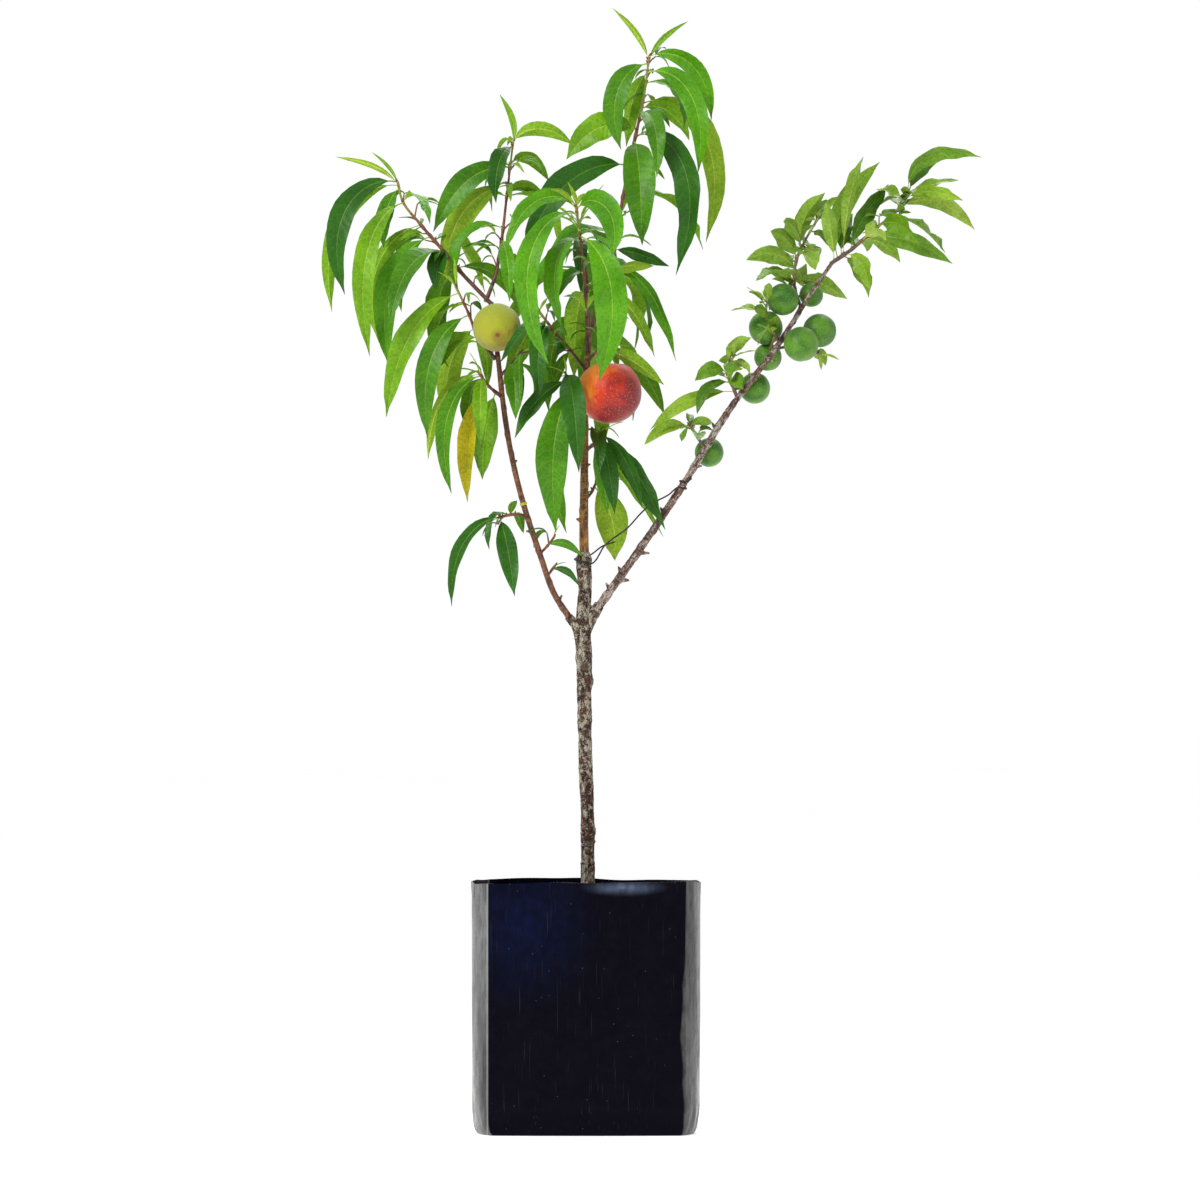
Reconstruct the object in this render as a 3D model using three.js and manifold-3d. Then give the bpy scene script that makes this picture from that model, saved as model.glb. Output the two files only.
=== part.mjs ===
// Young fruit salad tree in a planter bag: one trunk with three grafted boughs,
// peach foliage on the left and centre, plum foliage on the right.
// Millimetres, +Z up, +X to the right of the front view, +Y away from it.
// The origin is the middle of the flat underside of the bag.

import * as THREE from 'three';
import { mergeVertices } from 'three/addons/utils/BufferGeometryUtils.js';
import Module from 'manifold-3d';

const wasm = await Module();
wasm.setup();

// Driving sizes of the bag and its fill
const GAP = 0.3;
const BAG_WIDTH = 220;
const BAG_DEPTH = 206;
const BAG_HEIGHT = 240;
const BAG_WALL = 1.6;
const BAG_SQUARENESS = 3.4;
const BAG_FOOT = 0.95;
const BAG_TUCK = 24;
const BAG_SIDES = 36;
const SOIL_BELOW_RIM = 25;
const SOIL_TOP = BAG_HEIGHT - SOIL_BELOW_RIM;

// Limbs, each a list of [x, y, z, radius] from foot to tip
const TRUNK_FOOT = SOIL_TOP + GAP;
const TRUNK_LINE = [
  [1.6, 0, TRUNK_FOOT, 10.2], [1.5, 0, 223, 7.8], [1.4, 0, 240, 6.5], [1.1, 0, 278, 6.3],
  [0.8, 0, 315, 6.5], [-1.1, 0, 366, 6.5], [-2, 0, 409, 6.7], [-1.8, 0, 432, 7.5],
  [-2.4, 0, 463, 7.1], [-2.9, 0, 490, 6.6], [-1.2, 0, 519, 6.4], [-2.4, 0, 536, 6.9],
  [-2.4, 0, 545, 7.7], [-2.2, 0, 550, 6.2], [-2.2, 0, 552.5, 4.9],
];
const LEFT_COLLAR_FOOT = [-3, 0, 446, 5];
const RIGHT_COLLAR_FOOT = [-1, 0, 476, 5.6];
const COLLAR_NECK = 12;
const COLLAR_SWELL = 1.25;
const NECK_SWELL = 1.1;
const LEFT_LINE = [
  [-17, 0, 491, 3.1], [-30.5, -2, 512, 2.9], [-45.2, -4, 553, 2.8], [-59.1, -5, 595, 2.8],
  [-70, -4, 638, 2.7], [-77.8, -1, 682, 2.6], [-84, 2, 735, 2.5], [-91.4, 6, 788, 2.3],
];
const LEADER_LINE = [
  [-2.2, 0, 552.5, 4.6], [-2.4, 1, 595, 4.1], [-1.6, 2, 645, 3.6], [-1, 3, 700, 3.2],
  [2.4, 4, 758, 2.6],
];
const RIGHT_LINE = [
  [13, 0, 502, 4.2], [33.8, -1, 531, 3.9], [54.4, -3, 560, 3.7], [90, -5, 613, 3.5],
  [135, -6, 686, 3.1], [183, -5, 750, 2.6], [212, -4, 796, 2.1], [233.7, -3, 827, 1.7],
];
// The wire that ties the right bough in: a turn round the knob, a strand, and turns round the bough
const WIRE_TAIL = [[27.6, 5, 562], [15.7, 6, 558]];
const WIRE_STRAND = [
  [17.9, -6, 558.8], [39.3, -6, 575.3], [52.8, -7, 590], [63.1, -8, 598.5], [78, -11, 606.5],
];
const WIRE_END = [[100, -13, 622]];
const KNOB_TURN = { height: 545, from: 55, to: 325, climb: -8 };
const BOUGH_TURN = { height: 616, from: 245, to: 640, climb: 7 };
const WIRE_RADIUS = 0.75;
const WIRE_SIDES = 6;
const WIRE_STEP = 8;
const WIRE_SLACK = 0.5;
const WIRE_TURN_STEP = 30;
const LIMB_SIDES = 8;
const TWIG_SIDES = 5;
const LIMB_STEP = 16;
const TWIG_STEP = 20;
const TWIG_TIP = 0.9;
const SPUR_LENGTH = 60;
const SPUR_STEP = 9;
const FRUIT_STALK = 1.2;
const CLEANED = 0.02;

// Leaf kinds: breadth, stalk and droop are shares of the leaf's own length or degrees
const PEACH = {
  breadth: 0.2, broadest: 31, youngBreadth: 0.13, stalk: 0.07, fold: 0.35, rows: 5, turn: 144, lean: 58,
  rise: 32, droop: 112, spring: 38, bend: 60, roll: 34, colour: 0x4f8a24,
};
const PLUM = {
  breadth: 0.37, broadest: 25, youngBreadth: 0.24, stalk: 0.12, fold: 0.28, rows: 4, turn: 144, lean: 56,
  rise: 48, droop: 58, spring: 55, bend: 38, roll: 40, colour: 0x6f9a45,
};
const LEAF_THICKNESS = 0.0125;
const LEAF_SKIN = 0.2;
const STALK_BREADTH = 0.05;
const BLADE_LEAN = 0.82;
const BLADE_FULLNESS = 0.9;
const DROOP_POWER = 1.7;
const MEAN_DROOP = 1 - 1 / (DROOP_POWER + 1);
const MIDRIB_STEPS = 24;
const RING_SPREAD = 1.15;
const LEAST_BEND = 7;

// Where leaves sit on a shoot and how they vary: shares, degrees and [least, most] factors
const LAST_LEAF = 0.95;
const SPIKE_ROOT = 0.985;
const TURN_JITTER = 26;
const RISE_JITTER = 18;
const SIZE_AT_FOOT = 0.72;
const SIZE_AT_TIP = 0.42;
const SIZE_GAIN = 1.9;
const GROWN_LENGTH = [0.86, 1.08];
const DROOP_RANGE = [0.78, 1.22];
const YOUNG_LEAVES = 3;
const YOUNG_ROOT = 0.97;
const YOUNG_LEAN = 24;
const YOUNG_RISE = 78;
const YOUNG_DROOP = 26;
const YOUNG_LENGTH = [0.8, 1.2];

// Clearances that keep each mass to its own space
const CLEAR_OF_OTHERS = 5.6;
const CLEAR_OF_OWN = 3.2;
const CLEAR_OF_LIMB = 2.4;
const ROOT_SHARE = 0.22;
const LEAF_REACH = 0.62;
const TURNS_TRIED = [0, 28, -28, 56, -56];
const DEPTHS_TRIED = [0, 12, -12, 24, -24, 38, -38, 54, -54];
const SAMPLE_ROWS = 28;
const SAMPLE_COLUMNS = 7;
const BALLS_PER_ROW = 6;

const X_AXIS = new THREE.Vector3(1, 0, 0);
const Y_AXIS = new THREE.Vector3(0, 1, 0);
const Z_AXIS = new THREE.Vector3(0, 0, 1);
const radians = THREE.MathUtils.degToRad;
const point = (row) => new THREE.Vector3(row[0], row[1], row[2]);
const between = ([least, most], chance) => least + (most - least) * chance;

function randomSource(seed) {
  let state = seed;
  const next = () => {
    state = (Math.imul(state, 1664525) + 1013904223) >>> 0;
    return state / 4294967296;
  };
  for (let i = 0; i < 4; i++) next();
  return next;
}

// Solids and meshes

function solidFrom(geometry) {
  geometry.deleteAttribute('normal');
  geometry.deleteAttribute('uv');
  const merged = mergeVertices(geometry);
  return new wasm.Manifold(new wasm.Mesh({
    numProp: 3,
    vertProperties: new Float32Array(merged.attributes.position.array),
    triVerts: new Uint32Array(merged.index.array),
  }));
}

// Fusing can seal a hollow or cut off a scrap, so only the largest shell is kept,
// and edges too short to matter are closed up.
function fuse(solids) {
  const whole = wasm.Manifold.union(solids).simplify(CLEANED);
  const shells = whole.decompose();
  return shells.reduce((best, shell) => (shell.volume() > best.volume() ? shell : best));
}

function meshFrom(name, solid, colour, roughness) {
  const { vertProperties, triVerts } = solid.getMesh();
  const geometry = new THREE.BufferGeometry();
  geometry.setAttribute('position', new THREE.BufferAttribute(new Float32Array(vertProperties), 3));
  geometry.setIndex(new THREE.BufferAttribute(new Uint32Array(triVerts), 1));
  geometry.computeVertexNormals();
  const material = new THREE.MeshStandardMaterial({ color: colour, roughness, metalness: 0 });
  const mesh = new THREE.Mesh(geometry, material);
  mesh.name = name;
  return mesh;
}

// Limbs

// Rows of {centre, radius} along a smooth line through the listed points.
function sampleLine(line, step) {
  const rows = [];
  for (let i = 0; i < line.length - 1; i++) {
    const from = point(line[i]);
    const to = point(line[i + 1]);
    const before = i > 0 ? point(line[i - 1]) : from.clone().multiplyScalar(2).sub(to);
    const after = i + 2 < line.length ? point(line[i + 2]) : to.clone().multiplyScalar(2).sub(from);
    const span = from.distanceTo(to);
    const startSlope = slope(before, from, to).multiplyScalar(span);
    const endSlope = slope(from, to, after).multiplyScalar(span);
    const pieces = Math.max(1, Math.round(span / step));
    for (let k = i === 0 ? 0 : 1; k <= pieces; k++) {
      const t = k / pieces;
      rows.push({
        centre: hermite(from, to, startSlope, endSlope, t),
        radius: line[i][3] + (line[i + 1][3] - line[i][3]) * t,
      });
    }
  }
  return rows;
}

// Unit direction of the line at the middle one of three points.
function slope(before, middle, after) {
  const into = middle.clone().sub(before).normalize();
  const out = after.clone().sub(middle).normalize();
  return into.add(out).normalize();
}

function hermite(from, to, startSlope, endSlope, t) {
  const t2 = t * t;
  const t3 = t2 * t;
  return new THREE.Vector3()
    .addScaledVector(from, 2 * t3 - 3 * t2 + 1)
    .addScaledVector(startSlope, t3 - 2 * t2 + t)
    .addScaledVector(to, 3 * t2 - 2 * t3)
    .addScaledVector(endSlope, t3 - t2);
}

function directionAt(rows, index) {
  const before = rows[Math.max(0, index - 1)].centre;
  const after = rows[Math.min(rows.length - 1, index + 1)].centre;
  return after.clone().sub(before).normalize();
}

// A closed tube: a cylinder's rings are carried onto the rows of the line.
function tube(rows, sides) {
  const geometry = new THREE.CylinderGeometry(1, 1, 1, sides, rows.length - 1);
  const position = geometry.attributes.position;
  const frames = rows.map((row, index) => {
    const along = directionAt(rows, index);
    const across = Y_AXIS.clone().addScaledVector(along, -along.y).normalize();
    return { along, across, over: along.clone().cross(across) };
  });
  const vertex = new THREE.Vector3();
  for (let i = 0; i < position.count; i++) {
    vertex.fromBufferAttribute(position, i);
    const index = Math.round((0.5 - vertex.y) * (rows.length - 1));
    const { across, over } = frames[index];
    const { centre, radius } = rows[index];
    const placed = centre.clone()
      .addScaledVector(across, vertex.x * radius)
      .addScaledVector(over, vertex.z * radius);
    position.setXYZ(i, placed.x, placed.y, placed.z);
  }
  return solidFrom(geometry);
}

// The rows of a limb whose first ring stands clear of what it grows on.
function limbAbove(line, step) {
  const rows = sampleLine(line, step);
  const away = directionAt(rows, 0);
  rows[0].centre.addScaledVector(away, GAP);
  return rows;
}

// The graft collar of the trunk, swelling in line with the bough that it carries.
function collarUnder(line, foot) {
  const start = point(line[0]);
  const away = directionAt(sampleLine(line, LIMB_STEP), 0);
  const neck = start.clone().addScaledVector(away, -COLLAR_NECK);
  const radius = line[0][3] * COLLAR_SWELL;
  const rows = sampleLine([foot, [...neck, radius * NECK_SWELL], [...start, radius]], LIMB_STEP);
  return tube(rows, LIMB_SIDES);
}

function rowAtHeight(rows, height) {
  let index = 1;
  while (index < rows.length - 1 && rows[index].centre.z < height) index++;
  const low = rows[index - 1];
  const high = rows[index];
  const share = (height - low.centre.z) / (high.centre.z - low.centre.z);
  return {
    centre: low.centre.clone().lerp(high.centre, share),
    radius: low.radius + (high.radius - low.radius) * share,
    along: high.centre.clone().sub(low.centre).normalize(),
  };
}

// Points of a wire wound round a limb, from one angle to another in degrees.
function turnsRound(limb, { height, from, to, climb }) {
  const { centre, radius, along } = rowAtHeight(limb, height);
  const across = X_AXIS.clone().addScaledVector(along, -along.x).normalize();
  const over = along.clone().cross(across);
  const reach = radius + WIRE_RADIUS + WIRE_SLACK;
  const steps = Math.ceil((to - from) / WIRE_TURN_STEP);
  return Array.from({ length: steps + 1 }, (_, i) => {
    const angle = radians(from + (to - from) * i / steps);
    return [...centre.clone()
      .addScaledVector(along, climb * (i / steps - 0.5))
      .addScaledVector(across, Math.cos(angle) * reach)
      .addScaledVector(over, Math.sin(angle) * reach)];
  });
}

// Foliage: one stem from a limb, with leaves set round it by a seeded rule

// Where a stem starts, just clear of the bark: on the side of a limb, or at its tip.
function stemStart(limb, height, towards, stemRadius) {
  const last = limb.length - 1;
  const end = { centre: limb[last].centre, radius: 0, along: directionAt(limb, last) };
  const row = height === undefined ? end : rowAtHeight(limb, height);
  const aim = towards.clone().sub(row.centre).normalize();
  const sideways = aim.clone().addScaledVector(row.along, -aim.dot(row.along)).normalize();
  const out = height === undefined ? row.along : sideways;
  const tilt = Math.sqrt(Math.max(0, 1 - aim.dot(out) ** 2));
  return row.centre.clone().addScaledVector(out, row.radius + GAP + stemRadius * tilt);
}

// Share of the greatest leaf length at a share of the way along a shoot.
function sizeAlong(share) {
  const fromFoot = Math.min(1, SIZE_AT_FOOT + share);
  return fromFoot * Math.min(1, SIZE_AT_TIP + SIZE_GAIN * (1 - share));
}

// Half breadth of a blade at a share of its length, from stalk to tip.
function outline(kind, share) {
  if (share <= kind.stalk) return STALK_BREADTH;
  const blade = (share - kind.stalk) / (1 - kind.stalk);
  return Math.max(STALK_BREADTH, Math.sin(Math.PI * blade ** BLADE_LEAN) ** BLADE_FULLNESS);
}

// The slope of a midrib at a share of its length: it bends most near the stalk.
function midribSlope(rise, droop, share) {
  return rise - droop * (1 - (1 - share) ** DROOP_POWER);
}

// Forward and upward reach along a midrib of unit length, at even steps.
function midribPath(rise, droop) {
  const path = [[0, 0]];
  for (let i = 0; i < MIDRIB_STEPS; i++) {
    const angle = midribSlope(rise, droop, (i + 0.5) / MIDRIB_STEPS);
    const [forward, up] = path[i];
    path.push([forward + Math.cos(angle) / MIDRIB_STEPS, up + Math.sin(angle) / MIDRIB_STEPS]);
  }
  return path;
}

// The point, side and face directions of a leaf at a share of its length.
// Its midrib lies in an upright plane, and the blade is rolled about it.
function leafFrame(leaf, share) {
  const heading = new THREE.Vector3(Math.cos(leaf.azimuth), Math.sin(leaf.azimuth), 0);
  const place = share * MIDRIB_STEPS;
  const index = Math.min(MIDRIB_STEPS - 1, Math.floor(place));
  const [low, high] = [leaf.path[index], leaf.path[index + 1]];
  const centre = leaf.root.clone()
    .addScaledVector(heading, leaf.length * (low[0] + (high[0] - low[0]) * (place - index)))
    .addScaledVector(Z_AXIS, leaf.length * (low[1] + (high[1] - low[1]) * (place - index)));
  const angle = midribSlope(leaf.rise, leaf.droop, share);
  const level = new THREE.Vector3(-heading.y, heading.x, 0);
  const face = Z_AXIS.clone().multiplyScalar(Math.cos(angle)).addScaledVector(heading, -Math.sin(angle));
  const [cos, sin] = [Math.cos(leaf.roll), Math.sin(leaf.roll)];
  const side = level.clone().multiplyScalar(cos).addScaledVector(face, sin);
  face.multiplyScalar(cos).addScaledVector(level, -sin);
  return { centre, side, face };
}

function bladePoint(leaf, share, across) {
  const { centre, side, face } = leafFrame(leaf, share);
  const half = 0.5 * leaf.breadth * outline(leaf.kind, share);
  return centre
    .addScaledVector(side, across * half)
    .addScaledVector(face, Math.abs(across) * half * leaf.kind.fold);
}

// A leaf as a closed blade: a four-sided ball's rings are carried along the midrib.
function leafSolid(leaf) {
  const rings = leaf.kind.rows;
  const geometry = new THREE.SphereGeometry(1, 4, rings);
  const position = geometry.attributes.position;
  const vertex = new THREE.Vector3();
  for (let i = 0; i < position.count; i++) {
    vertex.fromBufferAttribute(position, i);
    const ring = Math.round(Math.acos(THREE.MathUtils.clamp(vertex.y, -1, 1)) / Math.PI * rings);
    const beyond = ((ring - 1) / (rings - 1)) ** RING_SPREAD;
    const share = ring === 0 ? 0 : leaf.kind.stalk + (1 - leaf.kind.stalk) * beyond;
    const inner = ring > 0 && ring < rings;
    const { face } = leafFrame(leaf, share);
    const placed = bladePoint(leaf, share, inner ? Math.round(vertex.x) : 0);
    const thick = 0.5 * LEAF_THICKNESS * leaf.length + LEAF_SKIN;
    if (inner) placed.addScaledVector(face, Math.sign(Math.round(vertex.z)) * thick);
    position.setXYZ(i, placed.x, placed.y, placed.z);
  }
  return solidFrom(geometry);
}

function sampleLeaf(leaf) {
  const samples = [];
  for (let i = 1; i <= SAMPLE_ROWS; i++) {
    for (let k = 0; k < SAMPLE_COLUMNS; k++) {
      samples.push(bladePoint(leaf, i / SAMPLE_ROWS, 2 * k / (SAMPLE_COLUMNS - 1) - 1));
    }
  }
  return samples;
}

function touches(first, second, clearance) {
  const least = clearance * clearance;
  return first.some((a) => second.some((b) => a.distanceToSquared(b) < least));
}

const grownLeaves = [];
const obstacles = [];
const fruits = [];

function addObstacle(rows, owner) {
  for (let i = 0; i < rows.length - 1; i++) {
    for (let k = 0; k < BALLS_PER_ROW; k++) {
      const t = k / BALLS_PER_ROW;
      obstacles.push({
        centre: rows[i].centre.clone().lerp(rows[i + 1].centre, t),
        radius: rows[i].radius + (rows[i + 1].radius - rows[i].radius) * t,
        owner,
      });
    }
  }
}

// A leaf fits when it keeps clear of limbs, fruit and the leaves of other masses.
function fits(leaf, samples, owner) {
  const middle = leafFrame(leaf, 0.5).centre;
  const reach = leaf.length * LEAF_REACH;
  const free = samples.slice(Math.round(samples.length * ROOT_SHARE));
  for (const ball of obstacles) {
    if (middle.distanceTo(ball.centre) > reach + ball.radius + CLEAR_OF_LIMB) continue;
    const tested = ball.owner === owner ? free : samples;
    const least = ball.radius + CLEAR_OF_LIMB;
    if (tested.some((sample) => sample.distanceTo(ball.centre) < least)) return false;
  }
  for (const ball of fruits) {
    const least = ball.radius + CLEAR_OF_LIMB;
    if (samples.some((sample) => sample.distanceTo(ball.centre) < least)) return false;
  }
  for (const other of grownLeaves) {
    if (middle.distanceTo(other.middle) > reach + other.reach + CLEAR_OF_OTHERS) continue;
    if (other.owner === owner) {
      if (touches(free, other.free, CLEAR_OF_OWN)) return false;
    } else if (touches(samples, other.samples, CLEAR_OF_OTHERS)) return false;
  }
  return true;
}

function growFirstFit(leaves, owner) {
  for (const leaf of leaves) {
    const samples = sampleLeaf(leaf);
    if (!fits(leaf, samples, owner)) continue;
    grownLeaves.push({
      leaf,
      owner,
      samples,
      free: samples.slice(Math.round(samples.length * ROOT_SHARE)),
      middle: leafFrame(leaf, 0.5).centre,
      reach: leaf.length * LEAF_REACH,
    });
    return true;
  }
  return false;
}

function alongRows(rows, share) {
  const place = share * (rows.length - 1);
  const index = Math.min(rows.length - 2, Math.floor(place));
  return rows[index].centre.clone().lerp(rows[index + 1].centre, place - index);
}

// The roll that turns one face of a leaf to the front, the nearer way round.
function frontRoll(azimuth, slant) {
  const level = Math.cos(azimuth);
  const hung = Math.sin(azimuth) * Math.sin(slant);
  return Math.atan2(hung > 0 ? level : -level, Math.abs(hung));
}

// A leaf that hangs to a known tip: its droop is adjusted until the midrib ends there.
function leafTo(kind, root, tip, roll, turned, bend, breadth) {
  const chord = tip.clone().sub(root);
  const slant = Math.atan2(chord.z, Math.hypot(chord.x, chord.y));
  const sprung = Math.min(radians(kind.spring), slant + radians(kind.bend));
  const usual = Math.max(slant + radians(LEAST_BEND), sprung);
  const rise = bend === undefined ? usual : slant + radians(bend);
  let droop = (rise - slant) / MEAN_DROOP;
  let path;
  for (let i = 0; i < 5; i++) {
    path = midribPath(rise, droop);
    const [forward, up] = path[MIDRIB_STEPS];
    droop += (Math.atan2(up, forward) - slant) / MEAN_DROOP;
  }
  path = midribPath(rise, droop);
  const length = chord.length() / Math.hypot(...path[MIDRIB_STEPS]);
  const azimuth = Math.atan2(chord.y, chord.x);
  return {
    kind, root, rise, droop, path, length, azimuth,
    roll: turned === undefined ? roll : frontRoll(azimuth, slant) + radians(turned),
    breadth: breadth(length),
  };
}

// The leaves whose tips are known take their places before the seeded ones. A tip that is not
// free is tried nearer and further away, which leaves the front view as it is.
function leafKnownTips(shoot, rows, kind, random, owner) {
  const spikes = (shoot.spikes ?? []).map((tip) => [SPIKE_ROOT, ...tip]);
  const known = [...(shoot.tips ?? []), ...spikes];
  known.forEach(([share, x, y, z, turned, bend, broad], i) => {
    const roll = radians(kind.roll * 2 * (random() - 0.5));
    const usual = i < known.length - spikes.length ? kind.breadth : kind.youngBreadth;
    const breadth = (length) => broad ?? Math.min(length * usual, kind.broadest);
    const root = alongRows(rows, share);
    const tips = DEPTHS_TRIED.map((depth) => new THREE.Vector3(x, y + depth, z));
    growFirstFit(tips.map((tip) => leafTo(kind, root, tip, roll, turned, bend, breadth)), owner);
  });
}

// Sets leaves round a shoot, each a fixed turn on from the last, then a few young ones at its tip.
function leafShoot(shoot, rows, kind, random, owner) {
  const total = shoot.leaves + (shoot.spikes ? 0 : YOUNG_LEAVES);
  for (let i = 0; i < total; i++) {
    const young = i >= shoot.leaves;
    const place = shoot.bare + (LAST_LEAF - shoot.bare) * (i + 0.5) / shoot.leaves;
    const share = young ? YOUNG_ROOT : place;
    const index = Math.min(rows.length - 2, Math.floor(share * (rows.length - 1)));
    const along = rows[index + 1].centre.clone().sub(rows[index].centre).normalize();
    const across = X_AXIS.clone().addScaledVector(along, -along.x).normalize();
    const over = along.clone().cross(across);
    const turn = radians(shoot.start + kind.turn * i + TURN_JITTER * (random() - 0.5));
    const lean = radians(young ? YOUNG_LEAN : kind.lean);
    const aim = along.clone().multiplyScalar(Math.cos(lean))
      .addScaledVector(across, Math.sin(lean) * Math.cos(turn))
      .addScaledVector(over, Math.sin(lean) * Math.sin(turn));
    const length = young ? shoot.young * between(YOUNG_LENGTH, random())
      : shoot.longest * sizeAlong(share) * between(GROWN_LENGTH, random());
    const cap = radians(young ? YOUNG_RISE : kind.rise + RISE_JITTER * (random() - 0.5));
    const droop = radians(young ? YOUNG_DROOP : kind.droop) * between(DROOP_RANGE, random());
    const roll = radians(kind.roll) * 2 * (random() - 0.5);
    const azimuth = Math.atan2(aim.y, aim.x);
    const rise = Math.min(Math.asin(THREE.MathUtils.clamp(aim.z, -1, 1)), cap);
    const leaf = {
      kind, rise, droop, roll, length,
      root: alongRows(rows, share),
      path: midribPath(rise, droop),
      breadth: Math.min(length * (young ? kind.youngBreadth : kind.breadth), kind.broadest),
    };
    growFirstFit(TURNS_TRIED.map((on) => ({ ...leaf, azimuth: azimuth + radians(on) })), owner);
  }
}

// Every mass: the limb it grows on, the height there, its shoots as [x, y, z] points, and its fruit.
// A shoot without "from" is the stem; the others branch from it at that share of its length.
// A tip is [share of the shoot, x, y, z, turn from the front, bend, breadth]; the last three
// may be left out, and are then the leaf kind's own.
const MASSES = [
  {
    name: 'foliage_front', kind: PEACH, limb: 'leader', height: 746, seed: 5, radius: 2.1,
    shoots: [{
      via: [[0, -20, 786], [-4, -42, 832], [-9.6, -60, 880]],
      leaves: 2, bare: 0.12, start: 60, longest: 120,
      spikes: [[-34, -92, 895, 20, 30, 6], [-18, -74, 903, 30, 20, 5], [-1, -86, 891, 20, 30, 5]],
      tips: [
        [0.97, -77, -96, 836, 14, 84, 18],
        [0.94, -35, -84, 728, 10, 84, 25],
        [0.97, 24, -84, 832, 8, 96, 28],
        [0.78, 12, -66, 714, 6, 64, 37],
        [0.5, -36, -75, 783, 25, 50, 15],
      ],
    }],
  },
  {
    name: 'foliage_top', kind: PEACH, limb: 'leader', seed: 21, radius: 2.4,
    shoots: [{
      via: [[17, 8, 803], [28, 10, 850], [36, 12, 897], [46, 13, 945], [55, 14, 988], [59.5, 14, 1024]],
      leaves: 6, bare: 0.14, start: 30, longest: 112,
      spikes: [[24.6, 4, 1070, 0, 22, 6.5], [97, 22, 1058, 0, 26, 6.5]],
      tips: [
        [1, 119, 10, 963, 16, 76, 20],
        [0.93, 106, -20, 912, 12, 76, 25],
        [0.78, 98, 34, 945, 20, 62, 18],
        [0.68, 85, -20, 815, 10, 88, 28],
        [0.8, 114, 62, 848, 10, 76, 26],
        [0.97, 33, 0, 935, 14, 62, 24],
        [0.93, 38, 44, 939, 20, 36, 20],
        [0.7, -19, -6, 926, 12, 54, 28],
        [0.58, -60, -30, 837, 10, 50, 31],
        [0.66, 53, -40, 843, 0, 50, 34],
        [0.3, 79, -2, 824, 20, 14, 14],
        [0.22, 64, -24, 824, -30, 24, 14],
        [0.26, 85, -14, 734, 14, 36, 14],
        [0.17, 65, 24, 738, 16, 30, 13],
      ],
    }],
  },
  {
    name: 'foliage_left_top', kind: PEACH, limb: 'left', seed: 8, radius: 2.1,
    shoots: [
      {
        via: [[-119, 14, 818], [-139, 18, 842], [-158.5, 22, 865], [-175, 25, 886], [-180, 26, 905]],
        leaves: 5, bare: 0.2, start: 100, longest: 118,
        spikes: [[-239.5, 20, 929, 0, 34, 6.5], [-205, 30, 934, 0, 30, 4]],
        tips: [
          [0.3, -58, 34, 776, 20, 50, 15],
          [1, -230, 4, 797, 12, 72, 25],
          [0.98, -243, 40, 781, 14, 72, 21],
          [0.87, -206, -14, 738, 12, 62, 24],
          [0.74, -198, 26, 752, 16, 56, 20],
          [0.62, -188, 4, 728, 12, 56, 26],
          [0.96, -193, 14, 842, 10, 36, 18],
          [0.45, -143, -14, 801, 10, 50, 22],
        ],
      },
      {
        from: 0.03, via: [[-87, 14, 815], [-81, 18, 848], [-76.6, 22, 886], [-70, 25, 943]],
        leaves: 4, bare: 0.16, start: 60, longest: 96,
        spikes: [[-83, 26, 989, 0, 34, 7]],
        tips: [
          [1, -13, 26, 941, 12, 60, 16],
          [0.97, -86, -4, 884, 10, 56, 20],
          [0.84, -146, 12, 857, 10, 54, 26],
          [0.73, -133, 0, 809, 12, 48, 28],
          [0.86, -36, 58, 907, 16, 62, 15],
          [0.38, -73, -20, 790, 10, 50, 16],
          [0.68, -40, 44, 893, 20, 50, 12],
        ],
      },
    ],
  },
  {
    name: 'foliage_left_fruit', kind: PEACH, limb: 'left', height: 738, seed: 14, radius: 1.9,
    shoots: [{
      via: [[-103, -4, 757], [-113, -8, 781], [-125, -12, 806]],
      leaves: 2, bare: 0.2, start: 90, longest: 100, young: 40,
      tips: [
        [0.9, -190, -34, 680, 12, 40, 27],
        [0.62, -151, -40, 660, 12, 54, 25],
        [0.3, -150, -58, 706, 20, 56, 20],
        [0.44, -135, 24, 673, 12, 56, 24],
      ],
    }],
    fruit: [{ name: 'peach', at: [-85.2, -23, 765.4], radius: 22.8, share: 0.16 }],
  },
  {
    name: 'foliage_centre_fruit', kind: PEACH, limb: 'leader', height: 736, seed: 31, radius: 1.9,
    shoots: [{
      via: [[14, -18, 745], [23, -27, 745]],
      leaves: 1, bare: 0.3, start: 30, longest: 70, young: 24,
      tips: [
        [0.75, 74, -44, 711, 20, 26, 17],
        [0.9, 75, -20, 682, 16, 32, 19],
      ],
    }],
    fruit: [{ name: 'peach', at: [21.9, -27, 704], radius: 30.5, share: 0.95 }],
  },
  {
    name: 'foliage_centre_left', kind: PEACH, limb: 'leader', height: 698, seed: 17, radius: 1.8,
    shoots: [{
      via: [[-12, -10, 707], [-20, -16, 722]],
      leaves: 1, bare: 0.25, start: 90, longest: 90, young: 20,
      tips: [
        [0.98, -7, -58, 627, 4, 50, 27],
        [0.6, -29, -30, 571, 8, 38, 35],
        [0.4, -19, -8, 570, 30, 30, 24],
        [0.8, -68, -36, 660, 20, 24, 17],
      ],
    }],
  },
  {
    name: 'foliage_centre_low', kind: PEACH, limb: 'leader', height: 650, seed: 12, radius: 1.8,
    shoots: [{
      via: [[9, -10, 657], [17, -14, 668]],
      leaves: 2, bare: 0.25, start: 180, longest: 96, young: 24,
      tips: [
        [0.55, 75, -16, 573, 12, 30, 22],
        [0.6, 27, -48, 588, 10, 40, 20],
        [0.2, 20, -14, 588, 20, 20, 15],
        [0.3, 73, 20, 567, 20, 10, 11],
        [0.8, 53, -34, 593, 16, 26, 15],
      ],
    }],
  },
  {
    name: 'foliage_leader_side', kind: PEACH, limb: 'leader', height: 728, seed: 27, radius: 1.7,
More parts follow.
